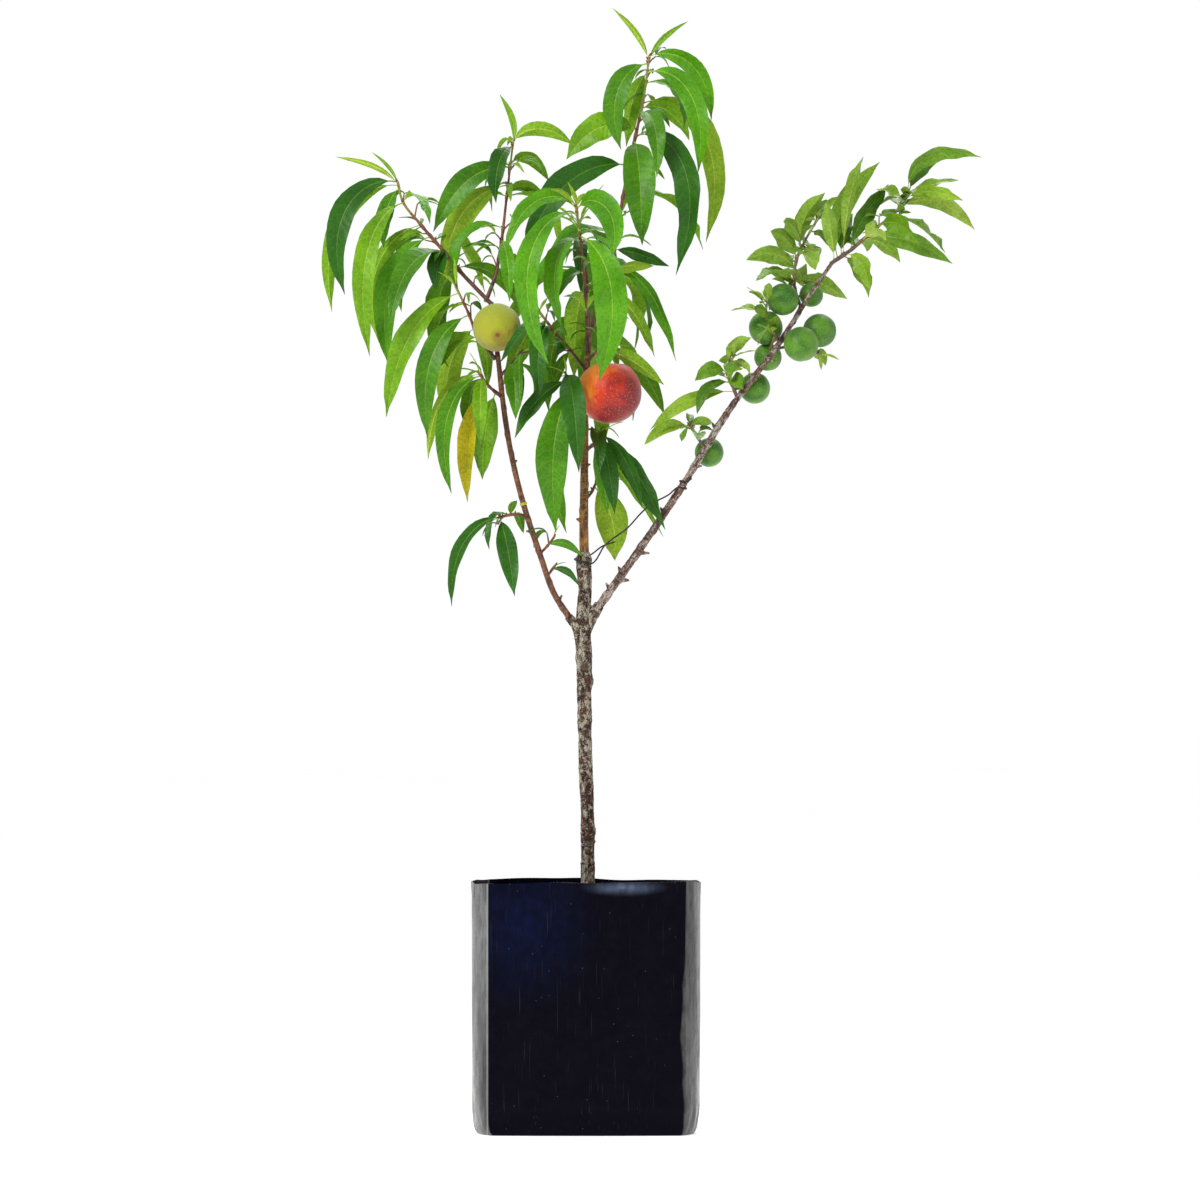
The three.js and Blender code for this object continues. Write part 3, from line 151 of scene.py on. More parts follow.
# Every mass: the limb it grows on, the height there, its shoots as [x, y, z] points, and its fruit.
# A tip is [share, x, y, z, turn from the front, bend, breadth], a spike the same without the share,
# and a fruit [share, x, y, z, radius]. A shoot with a part_way starts on the first one, at that share.
MASSES = [
    dict(name="foliage_front", kind=PEACH, limb="leader", height=746, seed=5, radius=2.1, shoots=[
        dict(via=[[0, -20, 786], [-4, -42, 832], [-9.6, -60, 880]], leaves=2, bare=0.12, start=60,
            longest=120,
            spikes=[[-34, -92, 895, 20, 30, 6], [-18, -74, 903, 30, 20, 5], [-1, -86, 891, 20, 30, 5]],
            tips=[[0.97, -77, -96, 836, 14, 84, 18], [0.94, -35, -84, 728, 10, 84, 25],
                [0.97, 24, -84, 832, 8, 96, 28], [0.78, 12, -66, 714, 6, 64, 37],
                [0.5, -36, -75, 783, 25, 50, 15]])]),
    dict(name="foliage_top", kind=PEACH, limb="leader", seed=21, radius=2.4, shoots=[
        dict(via=[[17, 8, 803], [28, 10, 850], [36, 12, 897], [46, 13, 945], [55, 14, 988],
            [59.5, 14, 1024]], leaves=6, bare=0.14, start=30, longest=112,
            spikes=[[24.6, 4, 1070, 0, 22, 6.5], [97, 22, 1058, 0, 26, 6.5]],
            tips=[[1, 119, 10, 963, 16, 76, 20], [0.93, 106, -20, 912, 12, 76, 25],
                [0.78, 98, 34, 945, 20, 62, 18], [0.68, 85, -20, 815, 10, 88, 28],
                [0.8, 114, 62, 848, 10, 76, 26], [0.97, 33, 0, 935, 14, 62, 24],
                [0.93, 38, 44, 939, 20, 36, 20], [0.7, -19, -6, 926, 12, 54, 28],
                [0.58, -60, -30, 837, 10, 50, 31], [0.66, 53, -40, 843, 0, 50, 34],
                [0.3, 79, -2, 824, 20, 14, 14], [0.22, 64, -24, 824, -30, 24, 14],
                [0.26, 85, -14, 734, 14, 36, 14], [0.17, 65, 24, 738, 16, 30, 13]])]),
    dict(name="foliage_left_top", kind=PEACH, limb="left", seed=8, radius=2.1, shoots=[
        dict(via=[[-119, 14, 818], [-139, 18, 842], [-158.5, 22, 865], [-175, 25, 886], [-180, 26, 905]],
            leaves=5, bare=0.2, start=100, longest=118,
            spikes=[[-239.5, 20, 929, 0, 34, 6.5], [-205, 30, 934, 0, 30, 4]],
            tips=[[0.3, -58, 34, 776, 20, 50, 15], [1, -230, 4, 797, 12, 72, 25],
                [0.98, -243, 40, 781, 14, 72, 21], [0.87, -206, -14, 738, 12, 62, 24],
                [0.74, -198, 26, 752, 16, 56, 20], [0.62, -188, 4, 728, 12, 56, 26],
                [0.96, -193, 14, 842, 10, 36, 18], [0.45, -143, -14, 801, 10, 50, 22]]),
        dict(part_way=0.03, via=[[-87, 14, 815], [-81, 18, 848], [-76.6, 22, 886], [-70, 25, 943]],
            leaves=4, bare=0.16, start=60, longest=96,
            spikes=[[-83, 26, 989, 0, 34, 7]],
            tips=[[1, -13, 26, 941, 12, 60, 16], [0.97, -86, -4, 884, 10, 56, 20],
                [0.84, -146, 12, 857, 10, 54, 26], [0.73, -133, 0, 809, 12, 48, 28],
                [0.86, -36, 58, 907, 16, 62, 15], [0.38, -73, -20, 790, 10, 50, 16],
                [0.68, -40, 44, 893, 20, 50, 12]])]),
    dict(name="foliage_left_fruit", kind=PEACH, limb="left", height=738, seed=14, radius=1.9, shoots=[
        dict(via=[[-103, -4, 757], [-113, -8, 781], [-125, -12, 806]], leaves=2, bare=0.2, start=90,
            longest=100, young=40,
            tips=[[0.9, -190, -34, 680, 12, 40, 27], [0.62, -151, -40, 660, 12, 54, 25],
                [0.3, -150, -58, 706, 20, 56, 20], [0.44, -135, 24, 673, 12, 56, 24]])],
        fruit=[[0.16, -85.2, -23, 765.4, 22.8]]),
    dict(name="foliage_centre_fruit", kind=PEACH, limb="leader", height=736, seed=31, radius=1.9, shoots=[
        dict(via=[[14, -18, 745], [23, -27, 745]], leaves=1, bare=0.3, start=30, longest=70, young=24,
            tips=[[0.75, 74, -44, 711, 20, 26, 17], [0.9, 75, -20, 682, 16, 32, 19]])],
        fruit=[[0.95, 21.9, -27, 704, 30.5]]),
    dict(name="foliage_centre_left", kind=PEACH, limb="leader", height=698, seed=17, radius=1.8, shoots=[
        dict(via=[[-12, -10, 707], [-20, -16, 722]], leaves=1, bare=0.25, start=90, longest=90, young=20,
            tips=[[0.98, -7, -58, 627, 4, 50, 27], [0.6, -29, -30, 571, 8, 38, 35],
                [0.4, -19, -8, 570, 30, 30, 24], [0.8, -68, -36, 660, 20, 24, 17]])]),
    dict(name="foliage_centre_low", kind=PEACH, limb="leader", height=650, seed=12, radius=1.8, shoots=[
        dict(via=[[9, -10, 657], [17, -14, 668]], leaves=2, bare=0.25, start=180, longest=96, young=24,
            tips=[[0.55, 75, -16, 573, 12, 30, 22], [0.6, 27, -48, 588, 10, 40, 20],
                [0.2, 20, -14, 588, 20, 20, 15], [0.3, 73, 20, 567, 20, 10, 11],
                [0.8, 53, -34, 593, 16, 26, 15]])]),
    dict(name="foliage_leader_side", kind=PEACH, limb="leader", height=728, seed=27, radius=1.7, shoots=[
        dict(via=[[-16, -8, 745], [-33, -16, 765], [-46, -20, 782]], leaves=2, bare=0.3, start=90,
            longest=76, young=28,
            tips=[[0.95, -82, -34, 731, 40, 14, 13], [0.9, -80, -10, 710, 16, 26, 22],
                [0.35, -29, -34, 739, 30, 40, 12], [0.3, -30, -30, 707, 20, 40, 12],
                [0.7, -44, -44, 697, 12, 72, 20]])]),
    dict(name="foliage_centre_foot", kind=PEACH, limb="leader", height=604, seed=2, radius=1.4, shoots=[
        dict(via=[[5, 10, 609], [8, 15, 616]], leaves=1, bare=0.3, start=100, longest=40, young=18,
            tips=[[0.9, 27, 8, 544, 8, 24, 33]])]),
    dict(name="foliage_back", kind=PEACH, limb="leader", height=722, seed=9, radius=2.1, shoots=[
        dict(via=[[2, 34, 765], [0, 60, 815], [-8, 78, 868]], leaves=14, bare=0.14, start=300, longest=136,
            young=50)]),
    dict(name="foliage_left_side", kind=PEACH, limb="left", height=702, seed=19, radius=1.7, shoots=[
        dict(via=[[-92, -8, 709], [-102, -12, 722]], leaves=1, bare=0.25, start=90, longest=84, young=22,
            tips=[[0.8, -101, -34, 653, 14, 62, 17], [0.9, -128, -30, 607, 16, 58, 19],
                [0.95, -151, 14, 640, 24, 56, 15], [0.4, -113, -10, 599, 14, 34, 19],
                [0.12, -99, -30, 621, 6, 8, 26], [0.85, -133, -14, 667, 20, 60, 12]])]),
    dict(name="foliage_left_inner", kind=PEACH, limb="left", height=722, seed=23, radius=1.6, shoots=[
        dict(via=[[-71, -6, 731], [-62, -10, 742]], leaves=2, bare=0.25, start=20, longest=72, young=20,
            tips=[[0.5, -67, -44, 678, 6, 40, 20], [0.9, -63, -16, 692, 30, 50, 12]])]),
    dict(name="foliage_left_low", kind=PEACH, limb="left", height=588, seed=6, radius=1.5, shoots=[
        dict(via=[[-69, -8, 588], [-83, -11, 585]], leaves=1, bare=0.3, start=90, longest=50, young=16,
            tips=[[0.8, -128, -22, 500, 16, 60, 15], [0.97, -68, -60, 510, 6, 12, 21],
                [0.3, -60, 10, 570, 20, 50, 11], [0.5, -66, -14, 601, 20, 20, 8]])]),
    dict(name="foliage_left_foot", kind=PEACH, limb="left", height=552, seed=10, radius=1.3, shoots=[
        dict(via=[[-37, -8, 558], [-31, -10, 566]], leaves=1, bare=0.3, start=10, longest=28, young=14,
            tips=[[0.5, -4, -18, 548, 16, 56, 9]])]),
    dict(name="foliage_left_sprig", kind=PEACH, limb="left", height=531, seed=7, radius=1.1, shoots=[
        dict(via=[[-33, -7, 535], [-30, -8, 539]], leaves=0, bare=0.3, start=10, longest=30, young=12,
            tips=[[0.5, -7, -17, 520, 16, 50, 8]])]),
    dict(name="foliage_plum_low", kind=PLUM, limb="right", height=652, seed=4, radius=1.4, shoots=[
        dict(via=[[104, -8, 664], [97, -10, 674]], leaves=3, bare=0.25, start=300, longest=36, young=22,
            tips=[[0.8, 55, -20, 654, 14, 44, 13], [0.9, 120, -14, 675, 20, 40, 10],
                [0.95, 99, 10, 683, 20, 30, 9]])],
        fruit=[[0.1, 117, 12.5, 647, 13.8]]),
    dict(name="foliage_plum_middle", kind=PLUM, limb="right", height=700, seed=13, radius=1.5, shoots=[
        dict(via=[[138, -8, 712], [133, -8, 726], [140, -9, 738]], leaves=4, bare=0.2, start=240,
            longest=40, young=26,
            tips=[[0.5, 103, -20, 715, 14, 50, 15], [0.9, 126, 4, 734, 20, 30, 10],
                [0.8, 137, -34, 715, 20, 40, 12], [0.8, 157, -14, 756, 14, 60, 13],
                [0.2, 105, -14, 683, 20, 60, 12], [0.05, 60, -6, 668, 16, 22, 14]])],
        fruit=[[0.1, 160.4, 12.5, 708.3, 14.8]]),
    dict(name="foliage_plum_left", kind=PLUM, limb="right", height=752, seed=18, radius=1.5, shoots=[
        dict(via=[[178, -16, 764], [171, -20, 776], [172, -16, 790]], leaves=5, bare=0.16, start=120,
            longest=38, young=24,
            tips=[[0.5, 159, -4, 782, 20, 40, 11], [0.95, 173, -12, 807, 14, 20, 10]])],
        fruit=[[0.12, 170.9, 8, 765.7, 16.2], [0.2, 172.8, 15.5, 738, 13.2]]),
    dict(name="foliage_plum_right", kind=PLUM, limb="right", height=748, seed=3, radius=1.5, shoots=[
        dict(via=[[196, 4, 748], [210, 8, 744], [222, 10, 740]], leaves=0, bare=0.6, start=0, longest=36,
            young=20,
            tips=[[0.9, 228, 12, 730, 14, 40, 12]])],
        fruit=[[0.35, 204.2, -16.5, 749.7, 16.6], [0.6, 221.9, 9, 763, 16]]),
    dict(name="foliage_plum_upper", kind=PLUM, limb="right", height=786, seed=16, radius=1.5, shoots=[
        dict(via=[[198, 4, 806], [200, 8, 830], [210, 8, 852], [222, 6, 872]], leaves=9, bare=0.16,
            start=90, longest=54, young=30,
            tips=[[0.6, 227, -8, 894, 12, 40, 17], [0.35, 152, -6, 830, 20, 66, 18],
                [0.5, 175, 6, 857, 16, 44, 19], [0.62, 187, -12, 866, 20, 40, 14],
                [0.2, 168, -16, 822, 30, 30, 11], [0.3, 249, 24, 794, 16, 30, 17],
                [0.9, 234, 30, 886, 16, 30, 14]])],
        fruit=[[0.3, 187, -8, 792.4, 15.2], [0.1, 214, 13, 797, 11.4]]),
    dict(name="foliage_plum_tip", kind=PLUM, limb="right", seed=26, radius=1.6, shoots=[
        dict(via=[[255, -2, 842], [276.6, 0, 861], [295.3, 2, 877], [308, 3, 894]], leaves=8, bare=0.06,
            start=330, longest=70, young=44,
            tips=[[0.98, 376, 4, 928, 16, 74, 15], [0.97, 341, 22, 934, 20, 40, 16],
                [0.9, 358, -24, 886, 30, 42, 14], [0.75, 370, 10, 859, 20, 58, 16],
                [0.34, 348, -20, 826, 16, 36, 19], [0.5, 316, -34, 842, 12, 46, 20],
                [0.35, 299, 16, 828, 20, 40, 15], [0.15, 269, -12, 802, 16, 50, 18],
                [0.06, 279, -20, 923, 8, 46, 19], [0.12, 262, -44, 926, 20, 50, 13],
                [0.2, 288, 24, 903, 12, 24, 17], [0.1, 250, 22, 880, 12, 30, 17],
                [0.02, 227, -26, 884, 10, 34, 15]])]),
]


# Lines and rows

def unit(vector):
    return vector / np.linalg.norm(vector)


def round_half_up(value):
    return int(math.floor(value + 0.5))


def slope(before, middle, after):
    """Unit direction of a line at the middle one of three points."""
    return unit(unit(middle - before) + unit(after - middle))


def sample_line(line, step):
    """Rows of [x, y, z, radius] along a smooth line through the listed ones."""
    listed = np.array(line, float)
    rows = [listed[0]]
    for i in range(len(listed) - 1):
        start, end = listed[i, :3], listed[i + 1, :3]
        before = listed[i - 1, :3] if i > 0 else 2 * start - end
        after = listed[i + 2, :3] if i + 2 < len(listed) else 2 * end - start
        span = np.linalg.norm(end - start)
        pieces = max(1, round_half_up(span / step))
        t = (np.arange(1, pieces + 1) / pieces)[:, None]
        leaving, reaching = slope(before, start, end) * span, slope(start, end, after) * span
        centre = (start * (2 * t**3 - 3 * t**2 + 1) + leaving * (t**3 - 2 * t**2 + t)
                  + end * (3 * t**2 - 2 * t**3) + reaching * (t**3 - t**2))
        radius = listed[i, 3] + (listed[i + 1, 3] - listed[i, 3]) * t
        rows.extend(np.hstack([centre, radius]))
    return np.array(rows)


def direction_at(rows, index):
    return unit(rows[min(len(rows) - 1, index + 1), :3] - rows[max(0, index - 1), :3])


def foot_moved(rows, distance):
    """The rows with the first one moved along the limb."""
    rows = rows.copy()
    rows[0, :3] += direction_at(rows, 0) * distance
    return rows


def row_at_height(rows, height):
    """The row of a limb at a height, and the limb's direction there."""
    index = 1
    while index < len(rows) - 1 and rows[index, 2] < height:
        index += 1
    low, high = rows[index - 1], rows[index]
    share = (height - low[2]) / (high[2] - low[2])
    return low + (high - low) * share, unit(high[:3] - low[:3])


def place_at_share(rows, share):
    """The place at a share of a line's rows, and the line's direction there."""
    reached = share * (len(rows) - 1)
    index = min(len(rows) - 2, int(reached))
    step = rows[index + 1, :3] - rows[index, :3]
    return rows[index, :3] + step * (reached - index), unit(step)


def travelled_along(rows):
    return np.concatenate([[0], np.cumsum(np.linalg.norm(np.diff(rows[:, :3], axis=0), axis=1))])


def across_and_over(along):
    """Two directions square to a limb, the first as near the x axis as can be."""
    across = unit(np.array([1.0, 0, 0]) - along * along[0])
    return across, np.cross(along, across)


def spoke(along, turn):
    """The direction square to a limb at a turn round it."""
    across, over = across_and_over(along)
    return across * math.cos(turn) + over * math.sin(turn)


# The growing rule, as in the part's source

UPRIGHT = np.array([0, 0, 1.0])
SEED_FACTOR = 1664525
SEED_STEP = 1013904223
SEED_RANGE = 2**32
DRAWS_SKIPPED = 4


def random_source(seed):
    state = seed

    def draw():
        nonlocal state
        state = (state * SEED_FACTOR + SEED_STEP) % SEED_RANGE
        return state / SEED_RANGE

    for _ in range(DRAWS_SKIPPED):
        draw()
    return draw


def between(limits, chance):
    return limits[0] + (limits[1] - limits[0]) * chance


@dataclass
class Leaf:
    kind: Kind
    root: np.ndarray
    rise: float
    droop: float
    azimuth: float
    roll: float
    length: float
    breadth: float


def outline(kind, share):
    """Half breadth of a blade at shares of its length, from stalk to tip."""
    blade = np.clip((share - kind.stalk) / (1 - kind.stalk), 0, 1)
    body = np.sin(np.pi * blade**BLADE_LEAN).clip(0) ** BLADE_FULLNESS
    return np.where(share <= kind.stalk, STALK_BREADTH, np.maximum(STALK_BREADTH, body))


def midrib_slope(rise, droop, share):
    return rise - droop * (1 - (1 - share) ** DROOP_POWER)


def midrib_path(rise, droop):
    """The places of a midrib of length one, forward and up from its root, at even steps."""
    angle = midrib_slope(rise, droop, (np.arange(MIDRIB_STEPS) + 0.5) / MIDRIB_STEPS)
    steps = np.stack([np.cos(angle), np.sin(angle)], 1) / MIDRIB_STEPS
    return np.vstack([[0, 0], np.cumsum(steps, 0)])


def leaf_frame(leaf, share):
    """Centre, side and face directions of a leaf at shares of its length."""
    heading = np.array([math.cos(leaf.azimuth), math.sin(leaf.azimuth), 0])
    level = np.array([-heading[1], heading[0], 0])
    path = midrib_path(leaf.rise, leaf.droop)
    index = np.minimum(MIDRIB_STEPS - 1, (share * MIDRIB_STEPS).astype(int))
    part = (share * MIDRIB_STEPS - index)[..., None]
    reach = (path[index] + (path[index + 1] - path[index]) * part) * leaf.length
    centre = leaf.root + reach[..., :1] * heading + reach[..., 1:] * UPRIGHT
    angle = midrib_slope(leaf.rise, leaf.droop, share)[..., None]
    face = UPRIGHT * np.cos(angle) - heading * np.sin(angle)
    side = level * np.cos(leaf.roll) + face * np.sin(leaf.roll)
    return centre, side, face * np.cos(leaf.roll) - level * np.sin(leaf.roll)


def middle_of(leaf):
    return leaf_frame(leaf, np.array([0.5]))[0][0]


SAMPLE_SHARES, SAMPLE_ACROSS = (grid.ravel() for grid in np.meshgrid(
    np.arange(1, SAMPLE_ROWS + 1) / SAMPLE_ROWS, np.linspace(-1, 1, SAMPLE_COLUMNS), indexing="ij"))
FREE_FROM = round_half_up(SAMPLE_ROWS * SAMPLE_COLUMNS * ROOT_SHARE)


def blade_samples(leaf):
    """Points all over a leaf's blade, from its root to its tip."""
    centre, side, face = leaf_frame(leaf, SAMPLE_SHARES)
    half = 0.5 * leaf.breadth * outline(leaf.kind, SAMPLE_SHARES)
    lift = np.abs(SAMPLE_ACROSS) * half * leaf.kind.fold
    return centre + side * (SAMPLE_ACROSS * half)[..., None] + face * lift[..., None]


def nearest(first, second):
    """The least distance between two sets of points."""
    squares = (first**2).sum(1)[:, None] + (second**2).sum(1) - 2 * first @ second.T
    return math.sqrt(max(0, squares.min()))


class Crown:
    """What has grown so far: balls along limbs and stems, fruit, and leaves."""

    def __init__(self):
        self.balls, self.owners, self.fruit, self.grown = [], [], [], []

    def add_rows(self, rows, owner):
        for low, high in zip(rows[:-1], rows[1:]):
            for k in range(BALLS_PER_ROW):
                self.balls.append(low + (high - low) * k / BALLS_PER_ROW)
                self.owners.append(owner)

    def fits(self, leaf, samples, owner, ease):
        """Whether a leaf keeps its distance, eased by a share, from all that has grown."""
        middle = middle_of(leaf)
        reach = leaf.length * LEAF_REACH
        free = samples[FREE_FROM:]
        balls, owners = np.array(self.balls), np.array(self.owners)
        gap = CLEAR_OF_LIMB * ease
        near = np.linalg.norm(balls[:, :3] - middle, axis=1) <= reach + balls[:, 3] + gap
        for own in (True, False):
            chosen = balls[near & ((owners == owner) == own)]
            tested = free if own else samples
            away = np.linalg.norm(tested[:, None] - chosen[None, :, :3], axis=2)
            if (away < chosen[:, 3] + gap).any():
                return False
        for place, radius in self.fruit:
            if (np.linalg.norm(samples - place, axis=1) < radius + gap).any():
                return False
        for other in self.grown:
            if np.linalg.norm(middle - other["middle"]) > reach + other["reach"] + CLEAR_OF_OTHERS * ease:
                continue
            if other["owner"] == owner:
                if nearest(free, other["samples"][FREE_FROM:]) < CLEAR_OF_OWN * ease:
                    return False
            elif nearest(samples, other["samples"]) < CLEAR_OF_OTHERS * ease:
                return False
        return True

    def grow_first_fit(self, leaves, owner, rank, ease=1):
        """Keeps the first leaf that fits. Its rank is grown, young, spike, fine or its number among tips."""
        for leaf in leaves:
            samples = blade_samples(leaf)
            if self.fits(leaf, samples, owner, ease):
                self.grown.append({"leaf": leaf, "owner": owner, "rank": rank, "samples": samples,
                                   "middle": middle_of(leaf), "reach": leaf.length * LEAF_REACH})
                return True
        return False

    def grow_turned(self, leaf, owner, rank, ease=1):
        turned = [replace(leaf, azimuth=leaf.azimuth + math.radians(on)) for on in TURNS_TRIED]
        return self.grow_first_fit(turned, owner, rank, ease)


def front_roll(azimuth, slant):
    """The roll that turns one face of a leaf to the front, the nearer way round."""
    level, hung = math.cos(azimuth), math.sin(azimuth) * math.sin(slant)
    return math.atan2(level if hung > 0 else -level, abs(hung))


def leaf_to(kind, root, tip, roll, turned, bend, breadth):
    """A leaf that hangs to a known tip: its droop is adjusted until the midrib ends there."""
    chord = tip - root
    slant = math.atan2(chord[2], math.hypot(chord[0], chord[1]))
    sprung = min(math.radians(kind.spring), slant + math.radians(kind.bend))
    rise = max(slant + math.radians(LEAST_BEND), sprung) if bend is None else slant + math.radians(bend)
    droop = (rise - slant) / MEAN_DROOP
    for _ in range(DROOP_ROUNDS):
        forward, up = midrib_path(rise, droop)[-1]
        droop += (math.atan2(up, forward) - slant) / MEAN_DROOP
    length = np.linalg.norm(chord) / math.hypot(*midrib_path(rise, droop)[-1])
    azimuth = math.atan2(chord[1], chord[0])
    if turned is not None:
        roll = front_roll(azimuth, slant) + math.radians(turned)
    return Leaf(kind, root, rise, droop, azimuth, roll, length, breadth(length))


def leaf_known_tips(crown, shoot, rows, kind, draw, owner):
    """The leaves whose tips are known, and the young spikes at the end of a shoot."""
    tips = shoot.get("tips", [])
    spikes = [[SPIKE_ROOT, *tip] for tip in shoot.get("spikes", [])]
    for i, (share, x, y, z, *given) in enumerate([*tips, *spikes]):
        roll = math.radians(kind.roll * 2 * (draw() - 0.5))
        turned, bend, broad = [*given, None, None, None][:3]
        usual = kind.breadth if i < len(tips) else kind.young_breadth

        def breadth(length):
            return broad or min(length * usual, kind.broadest)

        root = place_at_share(rows, share)[0]
        hung = [leaf_to(kind, root, np.array([x, y + depth, z]), roll, turned, bend, breadth)
                for depth in DEPTHS_TRIED]
        crown.grow_first_fit(hung, owner, i if i < len(tips) else "spike")


def size_along(share):
    return min(1, SIZE_AT_FOOT + share) * min(1, SIZE_AT_TIP + SIZE_GAIN * (1 - share))


def leaf_shoot(crown, shoot, rows, kind, draw, owner):
    """Leaves round a shoot, each a fixed turn on from the last, then a few young ones at its tip."""
    total = shoot["leaves"] + (0 if "spikes" in shoot else YOUNG_LEAVES)
    for i in range(total):
        young = i >= shoot["leaves"]
        share = YOUNG_ROOT
        if not young:
            share = shoot["bare"] + (LAST_LEAF - shoot["bare"]) * (i + 0.5) / shoot["leaves"]
        root, along = place_at_share(rows, share)
        turn = math.radians(shoot["start"] + kind.turn * i + TURN_JITTER * (draw() - 0.5))
        lean = math.radians(YOUNG_LEAN if young else kind.lean)
        aim = along * math.cos(lean) + spoke(along, turn) * math.sin(lean)
        if young:
            length = shoot["young"] * between(YOUNG_LENGTH, draw())
        else:
            length = shoot["longest"] * size_along(share) * between(GROWN_LENGTH, draw())
        cap = YOUNG_RISE if young else kind.rise + RISE_JITTER * (draw() - 0.5)
        droop = math.radians(YOUNG_DROOP if young else kind.droop) * between(DROOP_RANGE, draw())
        roll = math.radians(kind.roll) * 2 * (draw() - 0.5)
        rise = min(math.asin(max(-1, min(1, aim[2]))), math.radians(cap))
        breadth = min(length * (kind.young_breadth if young else kind.breadth), kind.broadest)
        leaf = Leaf(kind, root, rise, droop, math.atan2(aim[1], aim[0]), roll, length, breadth)
        crown.grow_turned(leaf, owner, "young" if young else "grown")


def stem_start(limb, height, towards, stem_radius):
    """Where a stem starts, just clear of the bark: on the side of a limb, or at its tip."""
    if height is None:
        row, along = np.append(limb[-1, :3], 0), direction_at(limb, len(limb) - 1)
    else:
        row, along = row_at_height(limb, height)
    aim = unit(towards - row[:3])
    out = along if height is None else unit(aim - along * (aim @ along))
    tilt = math.sqrt(max(0, 1 - (aim @ out) ** 2))
    return row[:3] + out * (row[3] + GAP + stem_radius * tilt)


def shoot_rows(start, shoot, radius):
    """A shoot's line through its points, thinning to its tip."""
    via = shoot["via"]
    line = [[*start, radius]]
    for i, place in enumerate(via):
        line.append([*place, radius + (TWIG_TIP - radius) * (i + 1) / len(via)])
    length = np.linalg.norm(np.array(via[-1]) - start)
    return sample_line(line, SPUR_STEP if length < SPUR_LENGTH else TWIG_STEP)


def turns_round(limb, height, start, end, climb):
    """Points of a wire wound round a limb, from one angle to another in degrees."""
    row, along = row_at_height(limb, height)
    reach = row[3] + WIRE_RADIUS + WIRE_SLACK
    steps = math.ceil((end - start) / WIRE_TURN_STEP)
    return [row[:3] + along * climb * (part - 0.5)
            + spoke(along, math.radians(start + (end - start) * part)) * reach
            for part in np.arange(steps + 1) / steps]


BOUGH_LINES = {"left": LEFT_LINE, "leader": LEADER_LINE, "right": RIGHT_LINE}
LIMBS = {name: foot_moved(sample_line(line, LIMB_STEP), GAP) for name, line in BOUGH_LINES.items()}
TRUNK_ROWS = sample_line(TRUNK_LINE, LIMB_STEP)
WIRE_LINE = [[*place, WIRE_RADIUS] for place in (
    *WIRE_TAIL, *turns_round(TRUNK_ROWS, **KNOB_TURN), *WIRE_STRAND,
    *turns_round(LIMBS["right"], **BOUGH_TURN), *WIRE_END)]

# What the scene adds to the source's rule: short spurs with small leaves in the gaps along the shoots
FINE_EASE = 0.42
FINE_FROM = 0.12
FINE_TO = 0.97
FINE_SPREAD = 1.2
FINE_RISE = [15, 65]
FINE_DROOP = [0.5, 0.9]
FINE_ROLL = 40
FINE_SIZES = {
    "peach": {"spacing": 15, "spur": [5, 15], "length": [16, 40], "leaves": 2, "breadth": 0.2},
    "plum": {"spacing": 13, "spur": [4, 11], "length": [13, 28], "leaves": 3, "breadth": 0.46},
}
SPUR_FORWARD = 0.8
SPUR_LIFT = 0.25
SPUR_ARCH = 0.8
SPUR_RADII = [0.9, 0.8, 0.65]
SPUR_ROW = 4


def grow_fine(crown, mass, chance):
    """Short spurs along each shoot of a mass, each with a few small leaves, where there is room."""
    kind = mass["kind"]
    sizes = FINE_SIZES[kind.name]
    for rows in mass["rows"]:
        count = int(travelled_along(rows)[-1] * (1 - FINE_FROM) / sizes["spacing"])
        for i in range(count):
            share = FINE_FROM + (FINE_TO - FINE_FROM) * (i + chance.random()) / count
            root, along = place_at_share(rows, share)
            turn = chance.uniform(0, 2 * math.pi)
            aim = unit(along * SPUR_FORWARD + spoke(along, turn) + UPRIGHT * SPUR_LIFT)
            tip = root + aim * chance.uniform(*sizes["spur"])
            grown = False
            for _ in range(sizes["leaves"]):
                length = chance.uniform(*sizes["length"])
                azimuth = math.atan2(aim[1], aim[0]) + chance.uniform(-FINE_SPREAD, FINE_SPREAD)
                rise = math.radians(chance.uniform(*FINE_RISE))
                droop = math.radians(kind.droop * chance.uniform(*FINE_DROOP))
                roll = math.radians(chance.uniform(-FINE_ROLL, FINE_ROLL))
                leaf = Leaf(kind, tip, rise, droop, azimuth, roll, length, length * sizes["breadth"])
                grown |= crown.grow_turned(leaf, mass["name"], "fine", FINE_EASE)
            if grown:
                places = (root, (root + tip) / 2 + UPRIGHT * SPUR_ARCH, tip)
                line = [[*place, radius] for place, radius in zip(places, SPUR_RADII)]
                mass["spurs"].append(sample_line(line, SPUR_ROW))


